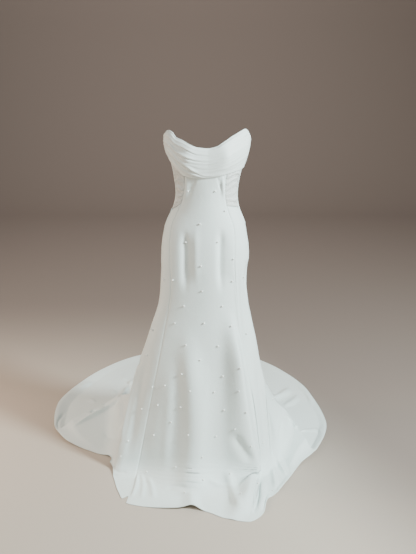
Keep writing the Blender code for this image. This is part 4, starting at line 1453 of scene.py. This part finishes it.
# %% Zip
ZIP_BOTTOM = 0.965
TEETH_IN = 0.0032  # behind the outer face of the cloth
TEETH_GAP = 0.001  # below the slider
TOOTH_STEP = 0.0015
TOOTH_LENGTH = 0.0030
TOOTH_RADIUS = 0.00045


def teeth_tree(material):
    tree, given, output = geometry_tree("zip teeth", ("Step", "Length", "Radius"))
    line = add(tree, "GeometryNodeMeshToCurve", {0: given.outputs[0]})
    places = add(
        tree,
        "GeometryNodeResampleCurve",
        {"Curve": line.outputs[0], "Length": given.outputs[1]},
        mode="LENGTH",
    )
    tooth = add(
        tree,
        "GeometryNodeMeshCylinder",
        {"Radius": given.outputs[3], "Depth": given.outputs[2]},
        Vertices=6,
    )
    across = add(tree, "FunctionNodeAxisAngleToRotation", Angle=math.pi / 2)
    across.inputs["Axis"].default_value = (0, 1, 0)
    teeth = add(
        tree,
        "GeometryNodeInstanceOnPoints",
        {"Points": places.outputs[0], "Instance": tooth.outputs[0], "Rotation": across.outputs[0]},
    )
    finish_tree(tree, teeth.outputs[0], material, output)
    return tree


slider_low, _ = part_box("zip_slider")
teeth_top = slider_low[2] + WAIST_HEIGHT - TEETH_GAP
heights = np.linspace(teeth_top, ZIP_BOTTOM, 60)
at_back = np.full_like(heights, 3.0)
teeth_line = dress_point(at_back, heights) - TEETH_IN * normal_of(dress_point, at_back, heights)
teeth_line[:, 0] = 0
zip_teeth = grown(
    "zip_teeth",
    teeth_line,
    chained(teeth_line),
    teeth_tree(enamel),
    {"Step": TOOTH_STEP, "Length": TOOTH_LENGTH, "Radius": TOOTH_RADIUS},
)


def refinish(node, material):
    """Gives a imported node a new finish."""
    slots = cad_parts[node].data.materials
    slots.clear()
    slots.append(material)


for node in ("zip_slider", "zip_pull"):
    refinish(node, enamel)
for node in ("zip_tape_left", "zip_tape_right"):
    refinish(node, tape)

# %% [markdown]
# ## Floor and light
#
# The floor is a plain pale paper sweep. Its colour has painted shade in it: darker where it goes
# back, up the wall and to the right. The key light is a soft one to the viewer's right, a little in
# front of the dress and above it, and it draws the folds. A second, higher one in front opens the
# bodice and the bust. Three weak warm ones on the left keep the shade there from going grey, and one
# more lights the wall behind.


# %% Stage
SWEEP_FRONT, SWEEP_START, SWEEP_RADIUS, SWEEP_TOP = -8.0, 4.6, 2.0, 6.0
SWEEP_WIDTH = 18.0
# weights of the painted shade: behind and up, to the right, a random cloud, where it starts, and
# where it is full
SHADE_DEEP, SHADE_RIGHT, SHADE_CLOUD, SHADE_START = 0.70, 1.60, 0.06, 0.25
SHADE_FULL = 1.3
PAPER_PALE = (0.500, 0.424, 0.362)
# the paper's colour where the painted shade is full
PAPER_SHADE = (0.235, 0.186, 0.163)


def paper_finish():
    """Pale paper with painted shade in its colour: darker behind the dress, up the wall and to its
    right.
    """
    finish = Finish("studio paper", Roughness=0.9)
    place = finish.place()
    across, deep, tall = (finish.node("ShaderNodeSeparateXYZ", None, {0: place}, k) for k in range(3))
    cloud = finish.noise(place, 1.2, 3.0)
    right = finish.node("ShaderNodeMath", {"operation": "MAXIMUM"}, {0: across, 1: 0.0})
    # painted shade: the paper's colour darkens behind the dress, up the wall and to its right
    painted_shade = (deep + tall * 0.5) * SHADE_DEEP + right * SHADE_RIGHT + cloud * SHADE_CLOUD + SHADE_START
    curve = {"data_type": "FLOAT", "interpolation_type": "SMOOTHSTEP"}
    painted_shade = finish.node("ShaderNodeMapRange", curve, {"Value": painted_shade, "From Max": SHADE_FULL})
    finish.feed("Base Color", finish.blend(painted_shade, (*PAPER_PALE, 1), (*PAPER_SHADE, 1)))
    return finish.material


def paper_sweep():
    turns = np.linspace(0, math.pi / 2, 24)
    side = [(SWEEP_FRONT, 0.0)]
    side += [
        (SWEEP_START + SWEEP_RADIUS * math.sin(turn), SWEEP_RADIUS * (1 - math.cos(turn)))
        for turn in turns
    ]
    side.append((SWEEP_START + SWEEP_RADIUS, SWEEP_TOP))
    corners = [(x, y, z - WAIST_HEIGHT) for y, z in side for x in (-SWEEP_WIDTH / 2, SWEEP_WIDTH / 2)]
    faces = [(2 * k, 2 * k + 1, 2 * k + 3, 2 * k + 2) for k in range(len(side) - 1)]
    data = bpy.data.meshes.new("paper_sweep")
    data.from_pydata(corners, [], faces)
    data.shade_smooth()
    data.materials.append(paper_finish())
    sweep = bpy.data.objects.new("paper_sweep", data)
    scene.collection.objects.link(sweep)
    print("paper sweep", len(faces), "faces")
    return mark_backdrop(sweep)


paper_sweep()


# %% Light
def soft_light(name, place, target, energy, size, colour):
    lamp = bpy.data.lights.new(name, "AREA")
    lamp.shape = "DISK"
    lamp.energy = energy
    lamp.size = size
    lamp.color = colour
    light = bpy.data.objects.new(name, lamp)
    scene.collection.objects.link(light)
    light.location = place
    light.rotation_euler = (Vector(target) - Vector(place)).to_track_quat("-Z", "Y").to_euler()


LIGHTS = (  # name, place, target, watts, width, colour
    ("key", (2.4, -1.45, 1.25), (0, 0, -0.3), 262, 0.6, (0.87, 1.0, 0.985)),
    ("top", (0.6, -3.2, 3.2), (0, 0, -0.6), 85, 1.4, (0.90, 1.0, 0.98)),
    ("fill", (-3.2, -2.2, 1.4), (-0.2, 0, -0.6), 26, 2.0, (1.0, 0.93, 0.84)),
    ("left_rim", (-3.2, 1.2, 0.9), (-0.4, 0.2, -0.8), 24, 0.7, (1.0, 0.86, 0.70)),
    ("left_low", (-1.9, 0.1, -0.1), (-0.6, 0.25, -1.1), 19, 0.35, (1.0, 0.78, 0.60)),
    ("wall", (-0.6, 2.4, 3.4), (-0.6, 6.6, 0.2), 112, 2.0, (1.0, 0.93, 0.88)),
)
for row in LIGHTS:
    soft_light(*row)
print(len(LIGHTS), "lights")

ROOM_COLOUR = (0.135, 0.119, 0.101)
world = bpy.data.worlds.new("room")
scene.world = world
world.use_nodes = True
background = world.node_tree.nodes["Background"]
background.inputs["Color"].default_value = (*ROOM_COLOUR, 1)
background.inputs["Strength"].default_value = 1.0

# %% [markdown]
# ## What each piece is, and what it stands for
#
# Every piece rides on a body of the imported model. A piece that stands for a imported node replaces
# it, and the node is hidden. Its slot and the size it was cut to are only listed in the table.

# %% Riding, and a table of slots and cut sizes
SHEETS = (  # piece, node, slot, flat width and length, flat area, held, hem or edge on it
    (front, "front_panel", "crepe", (0.55, 1.72), 0.54, "hung", [hems[0]]),
    (side_front_left, "side_front_left", "crepe", (0.22, 1.36), 0.12, "hung", [hems[1]]),
    (side_front_right, "side_front_right", "crepe", (0.25, 1.46), 0.137, "hung", [hems[2]]),
    (back_left, "back_left", "crepe", (1.55, 2.00), 1.07, "hung", [hems[3], top_edges[0]]),
    (back_right, "back_right", "crepe", (1.45, 1.98), 0.90, "hung", [hems[4], top_edges[1]]),
    (ruched_left, "ruched_side_left", "tulle", (0.14, 0.40), 0.029, "gathered", []),
    (ruched_right, "ruched_side_right", "tulle", (0.14, 0.40), 0.033, "gathered", []),
    (cowl, "cowl", "organza", (0.52, 0.24), 0.082, "draped", []),
)
for piece, node, slot, flat, area, held, trim in SHEETS:
    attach(piece, "dress")
    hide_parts(node)
for piece in hems + top_edges:
    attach(piece, "dress")
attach(pearls, "dress")
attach(zip_teeth, "dress")
